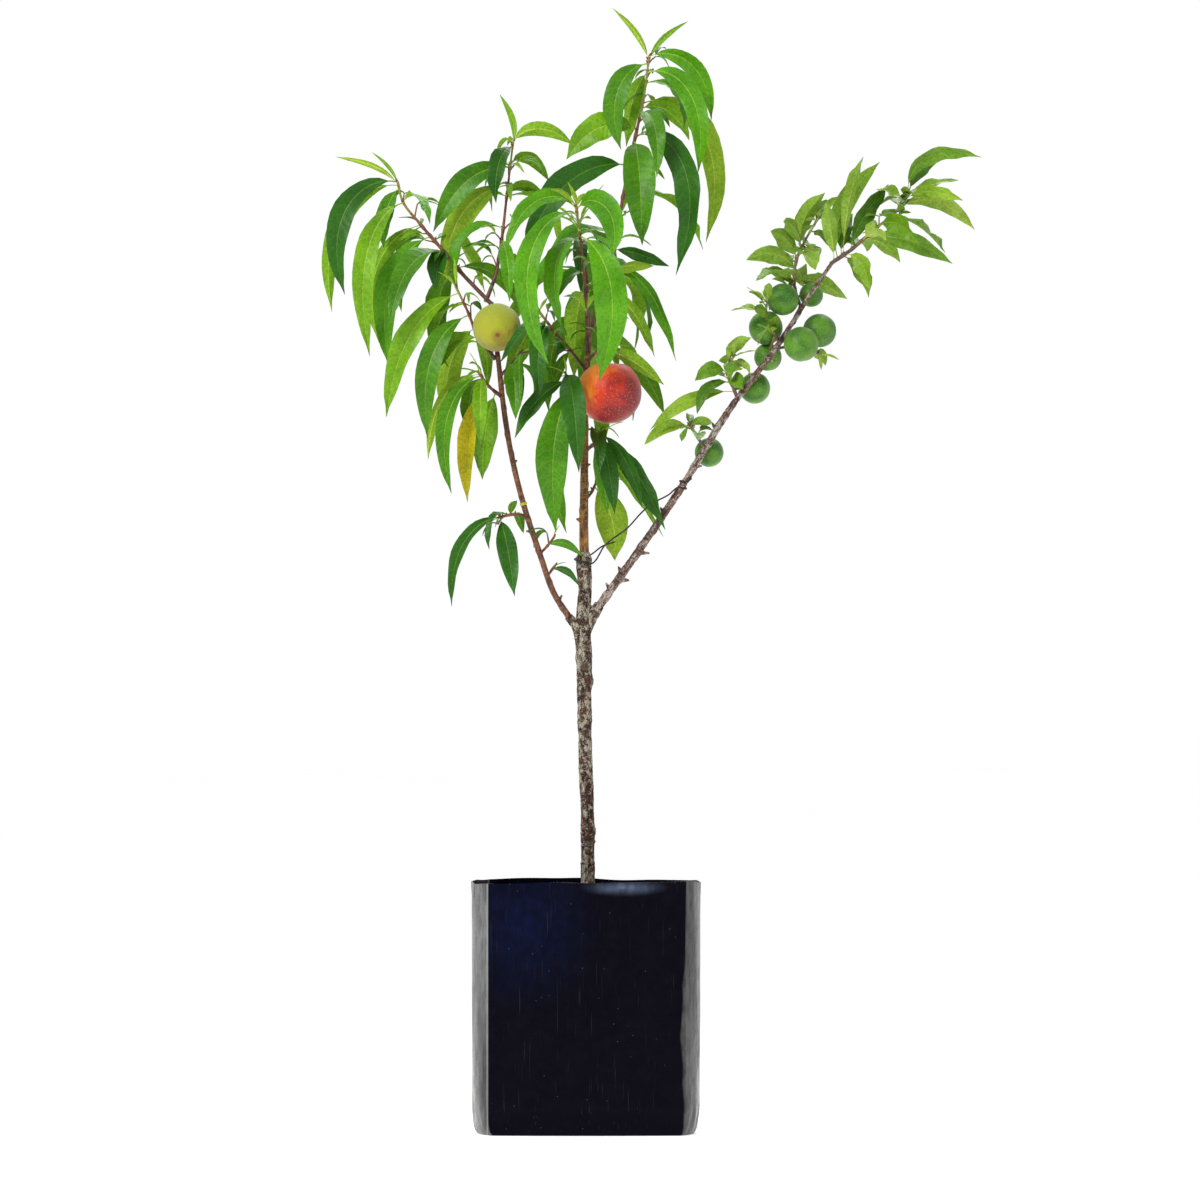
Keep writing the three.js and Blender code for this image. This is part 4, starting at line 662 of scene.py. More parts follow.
def grow_crown():
    """Lays out every shoot and fruit, then grows the leaves, and keeps the rows and spurs of each mass."""
    crown = Crown()
    crown.add_rows(TRUNK_ROWS, "trunk")
    crown.add_rows(sample_line(WIRE_LINE, WIRE_STEP), "tie_wire")
    for name, rows in LIMBS.items():
        crown.add_rows(rows, name)
    for mass in MASSES:
        towards = np.array(mass["shoots"][0]["via"][0], float)
        start = stem_start(LIMBS[mass["limb"]], mass.get("height"), towards, mass["radius"])
        mass["rows"], mass["spurs"], mass["draw"] = [], [], random_source(mass["seed"])
        for shoot in mass["shoots"]:
            root = place_at_share(mass["rows"][0], shoot["part_way"])[0] if "part_way" in shoot else start
            mass["rows"].append(shoot_rows(root, shoot, mass["radius"]))
        for rows in mass["rows"]:
            crown.add_rows(rows, mass["name"])
        for _, *place, radius in mass.get("fruit", []):
            crown.fruit.append((np.array(place), radius))
    for step in (leaf_known_tips, leaf_shoot):
        for mass in MASSES:
            for shoot, rows in zip(mass["shoots"], mass["rows"]):
                step(crown, shoot, rows, mass["kind"], mass["draw"], mass["name"])
    for mass in MASSES:
        grow_fine(crown, mass, random.Random(mass["seed"]))
    return crown


# Meshes

def only(obj):
    """Leaves one object selected and active, or none."""
    bpy.ops.object.select_all(action="DESELECT")
    if obj:
        obj.select_set(True)
        bpy.context.view_layer.objects.active = obj


def primitive(name, add, **settings):
    only(None)
    add(**settings)
    piece = bpy.context.active_object
    piece.name = name
    return piece


def modify(obj, kind, **settings):
    """Adds a modifier with its settings and applies it."""
    only(obj)
    modifier = obj.modifiers.new(kind.lower(), kind)
    for name, value in settings.items():
        setattr(modifier, name, value)
    bpy.ops.object.modifier_apply(modifier=modifier.name)


def read_vectors(items, label):
    values = np.empty(len(items) * 3)
    items.foreach_get(label, values)
    return values.reshape(-1, 3)


def read_points(obj):
    return read_vectors(obj.data.vertices, "co") / MM


def write_points(obj, points):
    obj.data.vertices.foreach_set("co", (points * MM).ravel())
    obj.data.update()


def soft_noise(points, pitch, shift=(0, 0, 0)):
    """Soft noise from -1 to 1 at each point, with its pitch and shift along x, y and z."""
    return np.array([noise.noise(Vector(place)) for place in points * pitch + shift])


def ways_along(rows):
    ways = np.gradient(rows[:, :3], axis=0)
    return ways / np.linalg.norm(ways, axis=1)[:, None]


def settle(obj, nodes=(), angle=None):
    """Smooths a finished piece, up to an angle if given, and puts it on the plant in place of its nodes."""
    only(obj)
    if angle:
        bpy.ops.object.shade_smooth_by_angle(angle=math.radians(angle))
    else:
        bpy.ops.object.shade_smooth()
    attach(obj, "root")
    if nodes:
        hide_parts(*dict.fromkeys(nodes))


class Sheaf:
    """Points, faces, finishes and surface places of many small shapes, for one joined mesh."""

    def __init__(self):
        self.points, self.places, self.faces, self.finishes = [], [], [], []
        self.count = 0
        self.nodes = []

    def add_rings(self, rings, places, finishes, ends, turned=()):
        """Closed skin over rings of points: a finish for each strip along it, and one for the ends.
        Faces of the turned strips start a corner later, so that they fold along the other diagonal."""
        rows, sides = rings.shape[:2]
        ring = np.arange(sides)
        start = (np.arange(rows - 1) * sides)[:, None]
        after = (ring + 1) % sides
        quads = np.stack([start + ring, start + after, start + sides + after, start + sides + ring], -1)
        quads[:, list(turned)] = np.roll(quads[:, list(turned)], -1, -1)
        self.faces += [quads.reshape(-1, 4) + self.count, ring[None, ::-1] + self.count,
                       ring[None] + (rows - 1) * sides + self.count]
        self.finishes += [np.broadcast_to(finishes, (rows - 1, sides)).ravel(), [ends], [ends]]
        self.points.append(rings.reshape(-1, 3))
        self.places.append(places.reshape(-1, 2))
        self.count += rows * sides

    def add_tube(self, rows, sides, finish=0):
        """A closed tube along rows of [x, y, z, radius], its rings carried on without twist."""
        ways = ways_along(rows)
        across = np.cross(ways[0], SLANTED)
        angle = np.arange(sides) * 2 * math.pi / sides
        rings = []
        for row, way in zip(rows, ways):
            across = unit(across - way * (across @ way))
            spokes = np.outer(np.cos(angle), across) + np.outer(np.sin(angle), np.cross(way, across))
            rings.append(row[:3] + row[3] * spokes)
        places = np.broadcast_arrays(travelled_along(rows)[:, None] * MM, angle / (2 * math.pi))
        self.add_rings(np.array(rings), np.stack(places, -1), finish, np.ravel(finish)[0])

    def build(self, name, materials):
        mesh = bpy.data.meshes.new(name)
        points = np.concatenate(self.points) * MM
        loops = np.concatenate([rows.ravel() for rows in self.faces])
        sizes = np.concatenate([np.full(len(rows), rows.shape[1]) for rows in self.faces])
        mesh.vertices.add(len(points))
        mesh.vertices.foreach_set("co", points.ravel())
        mesh.loops.add(len(loops))
        mesh.loops.foreach_set("vertex_index", loops)
        mesh.polygons.add(len(sizes))
        mesh.polygons.foreach_set("loop_start", np.concatenate([[0], np.cumsum(sizes)[:-1]]))
        mesh.polygons.foreach_set("loop_total", sizes)
        for material in materials:
            mesh.materials.append(material)
        mesh.polygons.foreach_set("material_index", np.concatenate(self.finishes))
        surface = mesh.uv_layers.new(name="surface")
        surface.data.foreach_set("uv", np.concatenate(self.places)[loops].ravel())
        mesh.update(calc_edges=True)
        mesh.validate()
        obj = bpy.data.objects.new(name, mesh)
        bpy.context.scene.collection.objects.link(obj)
        return obj

    def place(self, name, materials, slot, angle=None):
        settle(self.build(name, materials), self.nodes, angle)


# Materials

def colour(*screen):
    """A colour given as 0 to 255 on screen, in the renderer's own linear values."""
    return (*(((c / 255 + 0.055) / 1.055) ** 2.4 if c > 10 else c / 3294 for c in screen), 1)


def put(tree, kind, inputs=None, **settings):
    """Adds a node with its settings, and sets or links its inputs by name or number."""
    node = tree.nodes.new("ShaderNode" + kind)
    for name, value in settings.items():
        setattr(node, name, value)
    for name, value in (inputs or {}).items():
        if isinstance(value, Field):
            tree.links.new(value.socket, node.inputs[name])
        else:
            node.inputs[name].default_value = value
    return node


class Field:
    """A value, colour or place that changes over a surface. Sums with it add the nodes that reckon them."""

    def __init__(self, tree, socket):
        self.tree, self.socket = tree, socket

    def put(self, kind, inputs, output=0, **settings):
        return Field(self.tree, put(self.tree, kind, inputs, **settings).outputs[output])

    def reckon(self, operation, *others):
        return self.put("Math", dict(enumerate([self, *others])), operation=operation)

    def __add__(self, other):
        return self.reckon("ADD", other)

    def __sub__(self, other):
        return self.reckon("SUBTRACT", other)

    def __mul__(self, other):
        return self.reckon("MULTIPLY", other)

    def __truediv__(self, other):
        return self.reckon("DIVIDE", other)

    def __abs__(self):
        return self.reckon("ABSOLUTE")

    def vector(self, operation, *others):
        output = "Value" if operation in ("DOT_PRODUCT", "LENGTH") else "Vector"
        return self.put("VectorMath", dict(enumerate([self, *others])), output, operation=operation)

    def split(self):
        parts = put(self.tree, "SeparateXYZ", {0: self}).outputs
        return [Field(self.tree, part) for part in parts]

    def limited(self, low, high, to_low=0.0, to_high=1.0):
        """Goes evenly from one value at the low limit to another at the high one, and no further."""
        return self.put("MapRange", {"Value": self, "From Min": low, "From Max": high,
                                     "To Min": to_low, "To Max": to_high})

    def mixed(self, other, share, kind="MIX"):
        """This colour turned into another by a share."""
        return self.put("Mix", {"Factor": share, 6: self, 7: other}, 2, data_type="RGBA", blend_type=kind)

    def tinted(self, red, green, blue):
        return self.mixed((red, green, blue, 1), 1.0, "MULTIPLY")

    def stretched(self, stretch):
        return self.put("Mapping", {"Vector": self, "Scale": stretch}) if stretch else self

    def noise(self, scale, detail, stretch=None):
        place = self.stretched(stretch)
        return place.put("TexNoise", {"Vector": place, "Scale": scale, "Detail": detail}, "Fac")

    def cells(self, scale, stretch=None, feature="F1"):
        """How far a place lies from the middles, or the edges, of scattered cells."""
        place = self.stretched(stretch)
        return place.put("TexVoronoi", {"Vector": place, "Scale": scale}, "Distance", feature=feature)

    def reflection_patch(self, middle, stretch, reach):
        """A soft patch round a place, for a painted reflection: one at its middle, nothing at its reach."""
        return self.vector("SUBTRACT", middle).vector("MULTIPLY", stretch).vector("LENGTH").limited(reach, 0)


def effect(name, **inputs):
    """Builds a shader node group once, with named inputs, from the recipe that follows."""
    tree = bpy.data.node_groups.new(name, "ShaderNodeTree")
    for label, value in inputs.items():
        kind = "Float" if isinstance(value, float) else "Color" if len(value) == 4 else "Vector"
        socket = tree.interface.new_socket(name=label, in_out="INPUT", socket_type="NodeSocket" + kind)
        socket.default_value = value
    start = tree.nodes.new("NodeGroupInput").outputs

    def build(recipe):
        place = Field(tree, put(tree, "TexCoord").outputs["Object"])
        made = recipe(place, **{label: Field(tree, start[label]) for label in inputs})
        for label in made:
            kind = "Color" if label == "Base Color" else "Float"
            tree.interface.new_socket(name=label, in_out="OUTPUT", socket_type="NodeSocket" + kind)
        end = tree.nodes.new("NodeGroupOutput").inputs
        for label, value in made.items():
            tree.links.new(value.socket, end[label])
        return tree

    return build


def finish(name, group, values=(), relief=0.0, gloss=0.5, **constants):
    """A material from one shared effect, given the values of the effect's inputs in their order."""
    material = bpy.data.materials.new(name)
    material.use_nodes = True
    tree = material.node_tree
    shader = tree.nodes["Principled BSDF"].inputs
    shader["Specular IOR Level"].default_value = gloss
    for label, value in constants.items():
        shader[label.replace("_", " ")].default_value = value
    made = put(tree, "Group", node_tree=group)
    for socket, value in zip(made.inputs, values):
        socket.default_value = colour(*value) if socket.type == "RGBA" and len(value) == 3 else value
    for label in ("Base Color", "Roughness"):
        if label in made.outputs:
            tree.links.new(made.outputs[label], shader[label])
    if relief:
        height = Field(tree, made.outputs["Height"])
        bump = height.put("Bump", {"Height": height, "Distance": relief * MM})
        tree.links.new(bump.socket, shader["Normal"])
    return material


@effect("Leaf tissue", blade=colour(90, 150, 60), vein=colour(150, 190, 100), vein_share=0.3, pairs=15.0,
        patches=0.25)
def leaf_tissue(place, blade, vein, vein_share, pairs, patches):
    """A blade with lighter and darker patches, partly mottling and partly painted sheen and painted shade,
    with painted shade in the hollows of its fine relief, and side veins that run forward from its midrib.
    """
    along, sideways, _ = place.put("UVMap", {}, uv_map="surface").split()
    across = abs(sideways - 0.5)
    phase = (along - across * 0.16) * pairs + place.noise(90, 1) * 0.9
    wave = (phase * (2 * math.pi)).reckon("SINE")
    fine = place.noise(420, 3)
    # Patches in the blade's own mottle, tinted to stand in for pale sheen and deep shade
    dark_mottle_and_shade, pale_mottle_and_sheen = blade.tinted(0.54, 0.68, 0.25), blade.tinted(1.36, 1.3, 1.6)
    tone = blade.mixed(dark_mottle_and_shade.mixed(pale_mottle_and_sheen, place.noise(26, 3).limited(0.3, 0.7)), patches)
    # Painted shade where the fine relief sinks
    tone = tone.mixed(tone.tinted(0.7, 0.76, 0.6), fine.limited(0.56, 0.38))
    veined = wave.limited(0.72, 1) * across.limited(0.5, 0.36) * vein_share
    return {"Base Color": tone.mixed(vein, veined), "Height": fine * 0.5 - wave * 0.25}


@effect("Mottle", first=colour(120, 90, 60), second=colour(80, 60, 40), specks=colour(180, 160, 120),
        scale=60.0, speck_scale=900.0, speck_share=0.3, roughness=0.6, unevenness=0.15)
def mottle(place, first, second, specks, scale, speck_scale, speck_share, roughness, unevenness):
    """Two colours in soft mottles, with a third in small specks."""
    broad = place.noise(scale, 5)
    speck = place.cells(speck_scale).limited(0.34, 0.12)
    return {
        "Base Color": first.mixed(second, broad.limited(0.38, 0.62)).mixed(specks, speck * speck_share),
        "Roughness": (broad - 0.5) * unevenness + roughness,
        "Height": broad + speck * 0.3,
    }


@effect("Bark", ground=colour(120, 100, 84), streaks=colour(92, 62, 48), crust=colour(160, 152, 138),
        crust_share=0.5, band_share=0.3, lean=(0.0, 0.0, 0.0), roughness=0.7)
def bark(place, ground, streaks, crust, crust_share, band_share, lean, roughness):
    """Bark in streaks along the limb, with cross bands, pale crust and dark cracks, their near black partly
    painted shade in the sunk fissures; the hollows of the grit get a painted shade too.
    """
    place = place.put("Mapping", {"Vector": place, "Rotation": lean})
    streak = place.noise(520, 5, (1, 1, 0.09))
    band = place.noise(330, 4, (0.18, 0.18, 1))
    grit = place.noise(1500, 4)
    crack = place.cells(420, (1, 1, 0.35), "DISTANCE_TO_EDGE").limited(0.06, 0, 0, 0.6)
    scale = place.noise(230, 9, (1, 1, 0.7)) + place.noise(24, 2).limited(0.35, 0.6, -0.05, 0.05)
    crusted = scale.limited(0.51, 0.6) * crust_share
    dotted = place.noise(760, 3).limited(0.54, 0.6) * scale.limited(0.38, 0.5) * crust_share
    tone = ground.mixed(streaks, streak.limited(0.4, 0.6))
    for share in (band.limited(0.52, 0.62) * band_share, crusted, dotted):
        tone = tone.mixed(crust, share)
    # The sunk cracks painted near black: partly the bark's own dark, partly painted shade
    tone = tone.mixed(colour(18, 10, 8), crack)
    return {
        # Painted shade in the hollows of the grit, where its relief sinks
        "Base Color": tone.mixed(tone.tinted(0.75, 0.73, 0.72), grit.limited(0.62, 0.4)),
        "Roughness": crusted * 0.2 + roughness,
        "Height": grit * 0.5 + streak * 0.8 - crack,
    }


@effect("Fruit skin", shaded=colour(214, 122, 16), ripe=colour(188, 44, 10), deep=colour(126, 20, 30),
        specks=colour(232, 170, 104), speck_share=0.4, middle=(0.0, 0.0, 0.0), towards_ripe=(1.0, 0.0, 0.0),
        reach=0.03, dimple=colour(120, 84, 50), dimple_way=(0.0, -1.0, 0.0), dimple_size=-1.0)
def fruit_skin(place, shaded, ripe, deep, specks, speck_share, middle, towards_ripe, reach, dimple,
               dimple_way, dimple_size):
    """A shaded and a ripe side, flushed in streaks, with pale specks and a dimple at the blossom end."""
    out = place.vector("SUBTRACT", middle)
    flush = place.noise(70, 4)
    streak = place.noise(240, 5, (1, 1, 0.4))
    side = out.vector("DOT_PRODUCT", towards_ripe) / reach + (flush - 0.5) * 2.2 + (streak - 0.5)
    speck = place.cells(520).limited(0.3, 0.12) * speck_share * flush.limited(0.4, 0.56, 0.15, 1.2)
    facing = out.vector("NORMALIZE").vector("DOT_PRODUCT", dimple_way) + dimple_size
    dimpled = facing.limited(0.95, 1, 0, 0.45).reckon("MAXIMUM", facing.limited(0.99, 0.998))
    tone = shaded.mixed(ripe, side.limited(-0.9, -0.15)).mixed(deep, side.limited(0, 0.85))
    return {
        "Base Color": tone.mixed(specks, speck).mixed(dimple, dimpled),
        "Height": place.noise(1900, 2) + streak * 0.6,
    }


@effect("Bag film", film=colour(2, 1, 12), dust=colour(120, 122, 128), dust_share=0.006, roughness=0.2,
        hazy=colour(4, 12, 42), hazy_middle=(-0.062, -0.1, 0.2), shine=colour(104, 118, 146),
        shine_middle=(0.036, -0.1, 0.2345), scuff=colour(190, 191, 186), scuff_share=0.19)
def bag_film(place, film, dust, dust_share, roughness, hazy, hazy_middle, shine, shine_middle, scuff,
             scuff_share):
    """Black polythene with creases, scratches and dust, two painted reflections in front, a bluish patch and
    a pale shine under the rim, painted sheen on its side strips and a painted highlight along the left front
    crease.
    """
    crease = place.noise(34, 6, (1, 1, 0.22))
    pucker = place.noise(120, 5, (1, 1, 0.6))
    scratch = place.noise(900, 3, (1, 1, 0.02)).limited(0.66, 0.72)
    speck = place.cells(110).limited(0.055, 0.035)
    dusty = place.noise(60, 6).limited(0.5, 0.8)
    # Painted reflections: a bluish patch at the upper left of the front, and a pale shine just under the rim
    reflection_patch = place.reflection_patch(hazy_middle, (1, 0.6, 0.9), 0.075) * pucker.limited(0.3, 0.7, 0.4, 1.3)
    gleam = place.reflection_patch(shine_middle, (0.66, 0.6, 3.4), 0.03).reckon("POWER", 1.6)
    gleam = gleam * pucker.limited(0.35, 0.65, 0.5, 1.1)
    # Painted sheen on the side strips beyond the front creases, weaker on the right and further back, and a
    # painted highlight along the left front crease
    across, deep, _ = place.split()
    right = across.limited(0, 0.01)
    strip = (abs(across) + right * (crease - 0.5) * 0.03).limited(0.0925, 0.0945)
    forward = abs(deep).limited(0.035, 0.07, 0.25, 1)
    side_sheen_mask = strip * crease.limited(0.38, 0.6, 0.3, 1.3) * pucker.limited(0.36, 0.6, 0.6, 1.2)
    side_sheen_mask = side_sheen_mask * forward * (right * -0.55 + 1)
    crease_highlight = abs(across + 0.0936).limited(0.0011, 0.0003, 0, 0.35)
    marks = dusty * dust_share + scratch * 0.06 + speck * 0.35
    tone = film.mixed(hazy, reflection_patch).mixed(shine, gleam * 0.75).mixed(scuff, side_sheen_mask * scuff_share)
    return {
        "Base Color": tone.mixed(scuff, crease_highlight).mixed(dust, marks),
        "Roughness": dusty * 0.18 + roughness + scratch * 0.2,
        "Height": crease + pucker * 0.35,
    }


# Mottled finishes: two colours and their specks, scale, speck scale and share, roughness and unevenness
SHOOT_SPECKS = [(196, 178, 140), 190, 700, 0.22, 0.46, 0.2]
MOTTLED = {
    "peach shoot ripe": [(104, 58, 34), (62, 34, 24), *SHOOT_SPECKS],
    "peach shoot reddish": [(128, 74, 44), (86, 46, 34), *SHOOT_SPECKS],
    "peach shoot green": [(116, 146, 44), (138, 104, 50), *SHOOT_SPECKS],
    "plum shoot ripe": [(98, 76, 60), (68, 50, 42), *SHOOT_SPECKS],
    "plum shoot reddish": [(118, 102, 58), (92, 70, 50), *SHOOT_SPECKS],
    "plum shoot green": [(132, 156, 88), (122, 134, 74), *SHOOT_SPECKS],
    "fruit stalk": [(120, 104, 56), (88, 66, 44), (180, 160, 120), 200, 900, 0.3, 0.6, 0.15],
    "plum skin": [(82, 132, 22), (46, 98, 14), (150, 188, 100), 62, 900, 0.6, 0.46, 0.2],
    "potting mix": [(62, 46, 36), (38, 28, 23), (118, 92, 66), 180, 420, 0.35, 0.95, 0.05],
    "bark chips": [(104, 74, 52), (66, 46, 36), (150, 124, 92), 240, 600, 0.3, 0.85, 0.1],
    "tie wire": [(48, 44, 42), (30, 28, 28), (96, 74, 58), 260, 900, 0.4, 0.5, 0.3],
    "yellow tape": [(200, 190, 30), (168, 156, 24), (120, 96, 40), 300, 900, 0.3, 0.4, 0.15],
    "pale floor": [(246, 246, 246), (242, 242, 242), (244, 244, 244), 3, 900, 0.3, 0.9, 0.02],
}


def mottled(name, relief=0.0, gloss=0.5, **constants):
    return finish(name, mottle, MOTTLED[name], relief, gloss, **constants)


# Leaves

# Colours of a leaf kind's tones: upper side, underside, and midrib and stalk
TONES = {
    "peach": {
        "bright": [(82, 146, 4), (130, 172, 46), (176, 200, 84)],
        "mid": [(68, 125, 2), (114, 158, 38), (156, 184, 70)],
        "deep": [(36, 90, 2), (84, 130, 28), (118, 154, 58)],
        "pale": [(104, 153, 8), (140, 174, 50), (186, 200, 88)],
        "yellow": [(186, 170, 4), (184, 176, 36), (204, 190, 54)],
    },
    "plum": {
        "grey": [(98, 141, 26), (130, 164, 64), (166, 178, 70)],
        "deep": [(66, 110, 12), (108, 144, 46), (140, 154, 52)],
        "pale": [(130, 166, 42), (150, 178, 76), (180, 184, 78)],
    },
}
# How often each tone falls in a mass; the masses not named have the row of their kind. For the peach,
# bright, mid and deep are one green at three depths: the bright tone, given most to the front mass, is
# partly painted light, and the deep tone, given most to the inner and back masses, is partly painted shade.
TONE_SHARES = {
    "foliage_front": {"bright": 7, "mid": 2},
    "foliage_top": {"bright": 4, "mid": 4, "deep": 1, "pale": 2},
    "foliage_left_top": {"bright": 4, "mid": 5, "deep": 1, "pale": 3},
    "foliage_left_fruit": {"bright": 3, "mid": 4, "deep": 1, "pale": 1},
    "foliage_left_side": {"mid": 4, "deep": 1, "pale": 3, "yellow": 2},
    "foliage_left_inner": {"mid": 3, "deep": 1, "yellow": 1},
    "foliage_centre_fruit": {"bright": 1, "mid": 3, "deep": 4},
    "foliage_centre_left": {"mid": 2, "deep": 6},
    "foliage_left_low": {"mid": 2, "deep": 3},
    "peach": {"mid": 3, "deep": 6},
    "plum": {"grey": 5, "deep": 3, "pale": 2},
}
YOUNG_SHARES = {"pale": 1}
# Tones of single leaves that stand out, by their place in a mass's list of tips; bright tones here partly
# stand for painted light and deep ones for painted shade
TONE_BY_TIP = {
    "foliage_front": {0: "bright", 1: "bright", 2: "bright", 3: "bright"},
    "foliage_top": {0: "bright", 1: "bright", 3: "deep", 4: "pale", 5: "mid", 7: "pale", 8: "deep",
                    9: "mid"},
    "foliage_left_top": {1: "deep", 2: "mid", 3: "pale", 4: "mid", 5: "bright"},
    "foliage_left_fruit": {0: "pale", 1: "mid"},
    "foliage_centre_left": {0: "deep", 1: "mid", 2: "deep"},
    "foliage_centre_low": {0: "deep", 1: "deep", 4: "deep"},
    "foliage_centre_foot": {0: "pale"},
    "foliage_plum_tip": {0: "grey", 3: "pale", 4: "grey", 7: "pale"},
}
VEIN_SHARES = {"bright": 0.03, "mid": 0.08, "deep": 0.05, "pale": 0.1, "yellow": 0.1, "grey": 0.1}
UNDER_VEINS = 0.13
VEIN_PAIRS = {"peach": 15.0, "plum": 8.0}
VALLEY_SHARE = 0.42
# Finishes of a leaf's faces: patches, relief, gloss and roughness
LEAF_FINISHES = {
    "upper": (0.8, 0.28, 0.24, 0.42), "under": (0.4, 0.3, 0.05, 0.62), "rib": (0.3, 0.1, 0.2, 0.5),
    "valley": (0.3, 0.1, 0.2, 0.45),
}
# The ten corners round a blade: how far across, beside the rib or not, and on the upper or the lower face
HALFWAY = 0.52
BLADE_ACROSS = np.array([1, HALFWAY, 0, 0, -HALFWAY, -1, -HALFWAY, 0, 0, HALFWAY])
RIB_SIDE = np.array([0, 0, 1, -1, 0, 0, 0, -1, 1, 0])
BLADE_FACE = np.array([0, 1, 1, 1, 1, 0, -1, -1, -1, -1])
UPPER, UNDER, RIB, VALLEY = range(4)
STRIP_FINISHES = [UPPER, UPPER, VALLEY, UPPER, UPPER, UNDER, UNDER, RIB, UNDER, UNDER]
UNDER_STRIPS = range(5, 10)
BLADE_THICKNESS = 0.42
STALK_THICKNESS = 1.3
BLADE_GROWS_OVER = 0.25
RIB_WIDTH = 0.6
RIB_DEPTH = 0.55
GROOVE_DEPTH = 0.15
LONG_LEAF = 70
FOLD_RANGE = [0.8, 1.7]
WAVE_HEIGHT = {"peach": [0.05, 0.15], "plum": [0.09, 0.2]}
WAVE_MOST = 3.0
WAVES = [2.1, 4.0]
WAVE_END = 0.2
BOW = 0.12
TWIST = 0.5
ROW_LENGTH = 5.6
ROW_CROWDING = 1.06
FEWEST_ROWS = 9
MOST_ROWS = 16
WAVE_INWARDS = 1.6
CUPPED = 0.1
STALK_RING = 0.6
STALK_FLAT = 0.9
POINTED_FROM = 0.9
POINT_BREADTH = 0.12
POINT_FULLNESS = 0.8
RIB_TAPER = 1.15
RIB_MOST = 0.6
RIDGE_TAPER = 1.1
RIDGE_LEAF = 80
LEAF_SMOOTH = 62


def add_leaf(sheaf, leaf, chance):
    """A thin closed blade on the rule's midrib: folded, waved at its margins, with a ridge below."""
    kind = leaf.kind
    size = min(1, leaf.length / LONG_LEAF)
    count = int(np.clip(leaf.length / ROW_LENGTH, FEWEST_ROWS, MOST_ROWS))
    blade = kind.stalk + (1 - kind.stalk) * np.linspace(0, 1, count) ** ROW_CROWDING
    share = np.concatenate([[0, STALK_RING * kind.stalk], blade])[:, None]
    centre, side, face = leaf_frame(leaf, share[:, 0])
    centre = centre + side * chance.uniform(-BOW, BOW) * leaf.length * share * (1 - share)
    twist = chance.uniform(-TWIST, TWIST) * share**2
    side, face = side * np.cos(twist) + face * np.sin(twist), face * np.cos(twist) - side * np.sin(twist)
    pointed = np.clip((1 - share) / (1 - POINTED_FROM), POINT_BREADTH, 1) ** POINT_FULLNESS
    half = 0.5 * leaf.breadth * outline(kind, share) * pointed
    on_blade = np.clip((share - kind.stalk) / (BLADE_GROWS_OVER * (1 - kind.stalk)), 0, 1)
    rib = np.minimum(RIB_WIDTH * (RIB_TAPER - share) * size, RIB_MOST * half)
    fold = kind.fold * chance.uniform(*FOLD_RANGE)
    drawn_in = math.cos(math.atan(fold)) if kind is PEACH else 1
    across = BLADE_ACROSS * half * drawn_in + RIB_SIDE * rib
    height = min(WAVE_MOST, chance.uniform(*WAVE_HEIGHT[kind.name]) * leaf.breadth)
    waves = chance.uniform(*WAVES) * size
    right, left = (chance.random() * 2 * math.pi for _ in range(2))
    phase = np.where(BLADE_ACROSS > 0, right, left)
    swell = on_blade * np.clip((1 - share) / WAVE_END, 0, 1) * np.abs(BLADE_ACROSS) ** WAVE_INWARDS
    wave = height * swell * np.sin(2 * math.pi * waves * share + phase)
    cup = CUPPED * half * on_blade * (np.abs(BLADE_ACROSS) == HALFWAY)
    thick = STALK_THICKNESS + (BLADE_THICKNESS - STALK_THICKNESS) * on_blade
    beside_rib = RIB_SIDE != 0
    depth = RIB_DEPTH * (RIDGE_TAPER - share) * min(1, leaf.length / RIDGE_LEAF)
    ridge = depth * (beside_rib & (BLADE_FACE < 0))
    groove = GROOVE_DEPTH * (beside_rib & (BLADE_FACE > 0))
    lift = np.abs(across) * fold + wave + cup - (ridge + groove) * on_blade
    lift = lift + 0.5 * thick * BLADE_FACE * np.where(on_blade > 0.5, 1, STALK_FLAT)
    rings = centre[:, None] + side[:, None] * across[..., None] + face[:, None] * lift[..., None]
    spread = np.where(half > 0, across / np.maximum(half, 0.01), 0)
    places = np.stack(np.broadcast_arrays(share, 0.5 + 0.5 * spread), -1)
    finishes = np.broadcast_to(STRIP_FINISHES, (len(share) - 1, len(STRIP_FINISHES))).copy()
    finishes[:2] = RIB
    sheaf.add_rings(rings, places, finishes, RIB, UNDER_STRIPS)


def leaf_materials(kind, tone):
    upper, under, rib = (colour(*shade) for shade in TONES[kind][tone])
    valley = tuple(a + (b - a) * VALLEY_SHARE for a, b in zip(upper, rib))
    blades = {"upper": (upper, VEIN_SHARES[tone]), "under": (under, UNDER_VEINS), "rib": (rib, 0),
              "valley": (valley, 0)}
    materials = []
    for label, (patches, relief, gloss, roughness) in LEAF_FINISHES.items():
        blade, vein_share = blades[label]
        values = (blade, rib, vein_share, VEIN_PAIRS[kind], patches)
        materials.append(finish(f"{kind} leaf {tone} {label}", leaf_tissue, values, relief, gloss,
                                Roughness=roughness))
    return materials


def make_leaves(crown, chance):
    """Every leaf goes by its tone into one joined piece of its kind."""
    sheaves = {}
    for grown in crown.grown:
        kind, mass = grown["leaf"].kind, grown["owner"]
        shares = TONE_SHARES.get(mass, TONE_SHARES[kind.name])
        if grown["rank"] in ("spike", "young"):
            shares = YOUNG_SHARES
        tone = chance.choices(list(shares), list(shares.values()))[0]
        tone = TONE_BY_TIP.get(mass, {}).get(grown["rank"], tone)
        sheaf = sheaves.setdefault((kind.name, tone), Sheaf())
        add_leaf(sheaf, grown["leaf"], chance)
        sheaf.nodes.append(mass)
    for (kind, tone), sheaf in sorted(sheaves.items()):
        sheaf.place(f"{kind}_leaves_{tone}", leaf_materials(kind, tone), f"{kind}_foliage",
                    LEAF_SMOOTH)


# Twigs

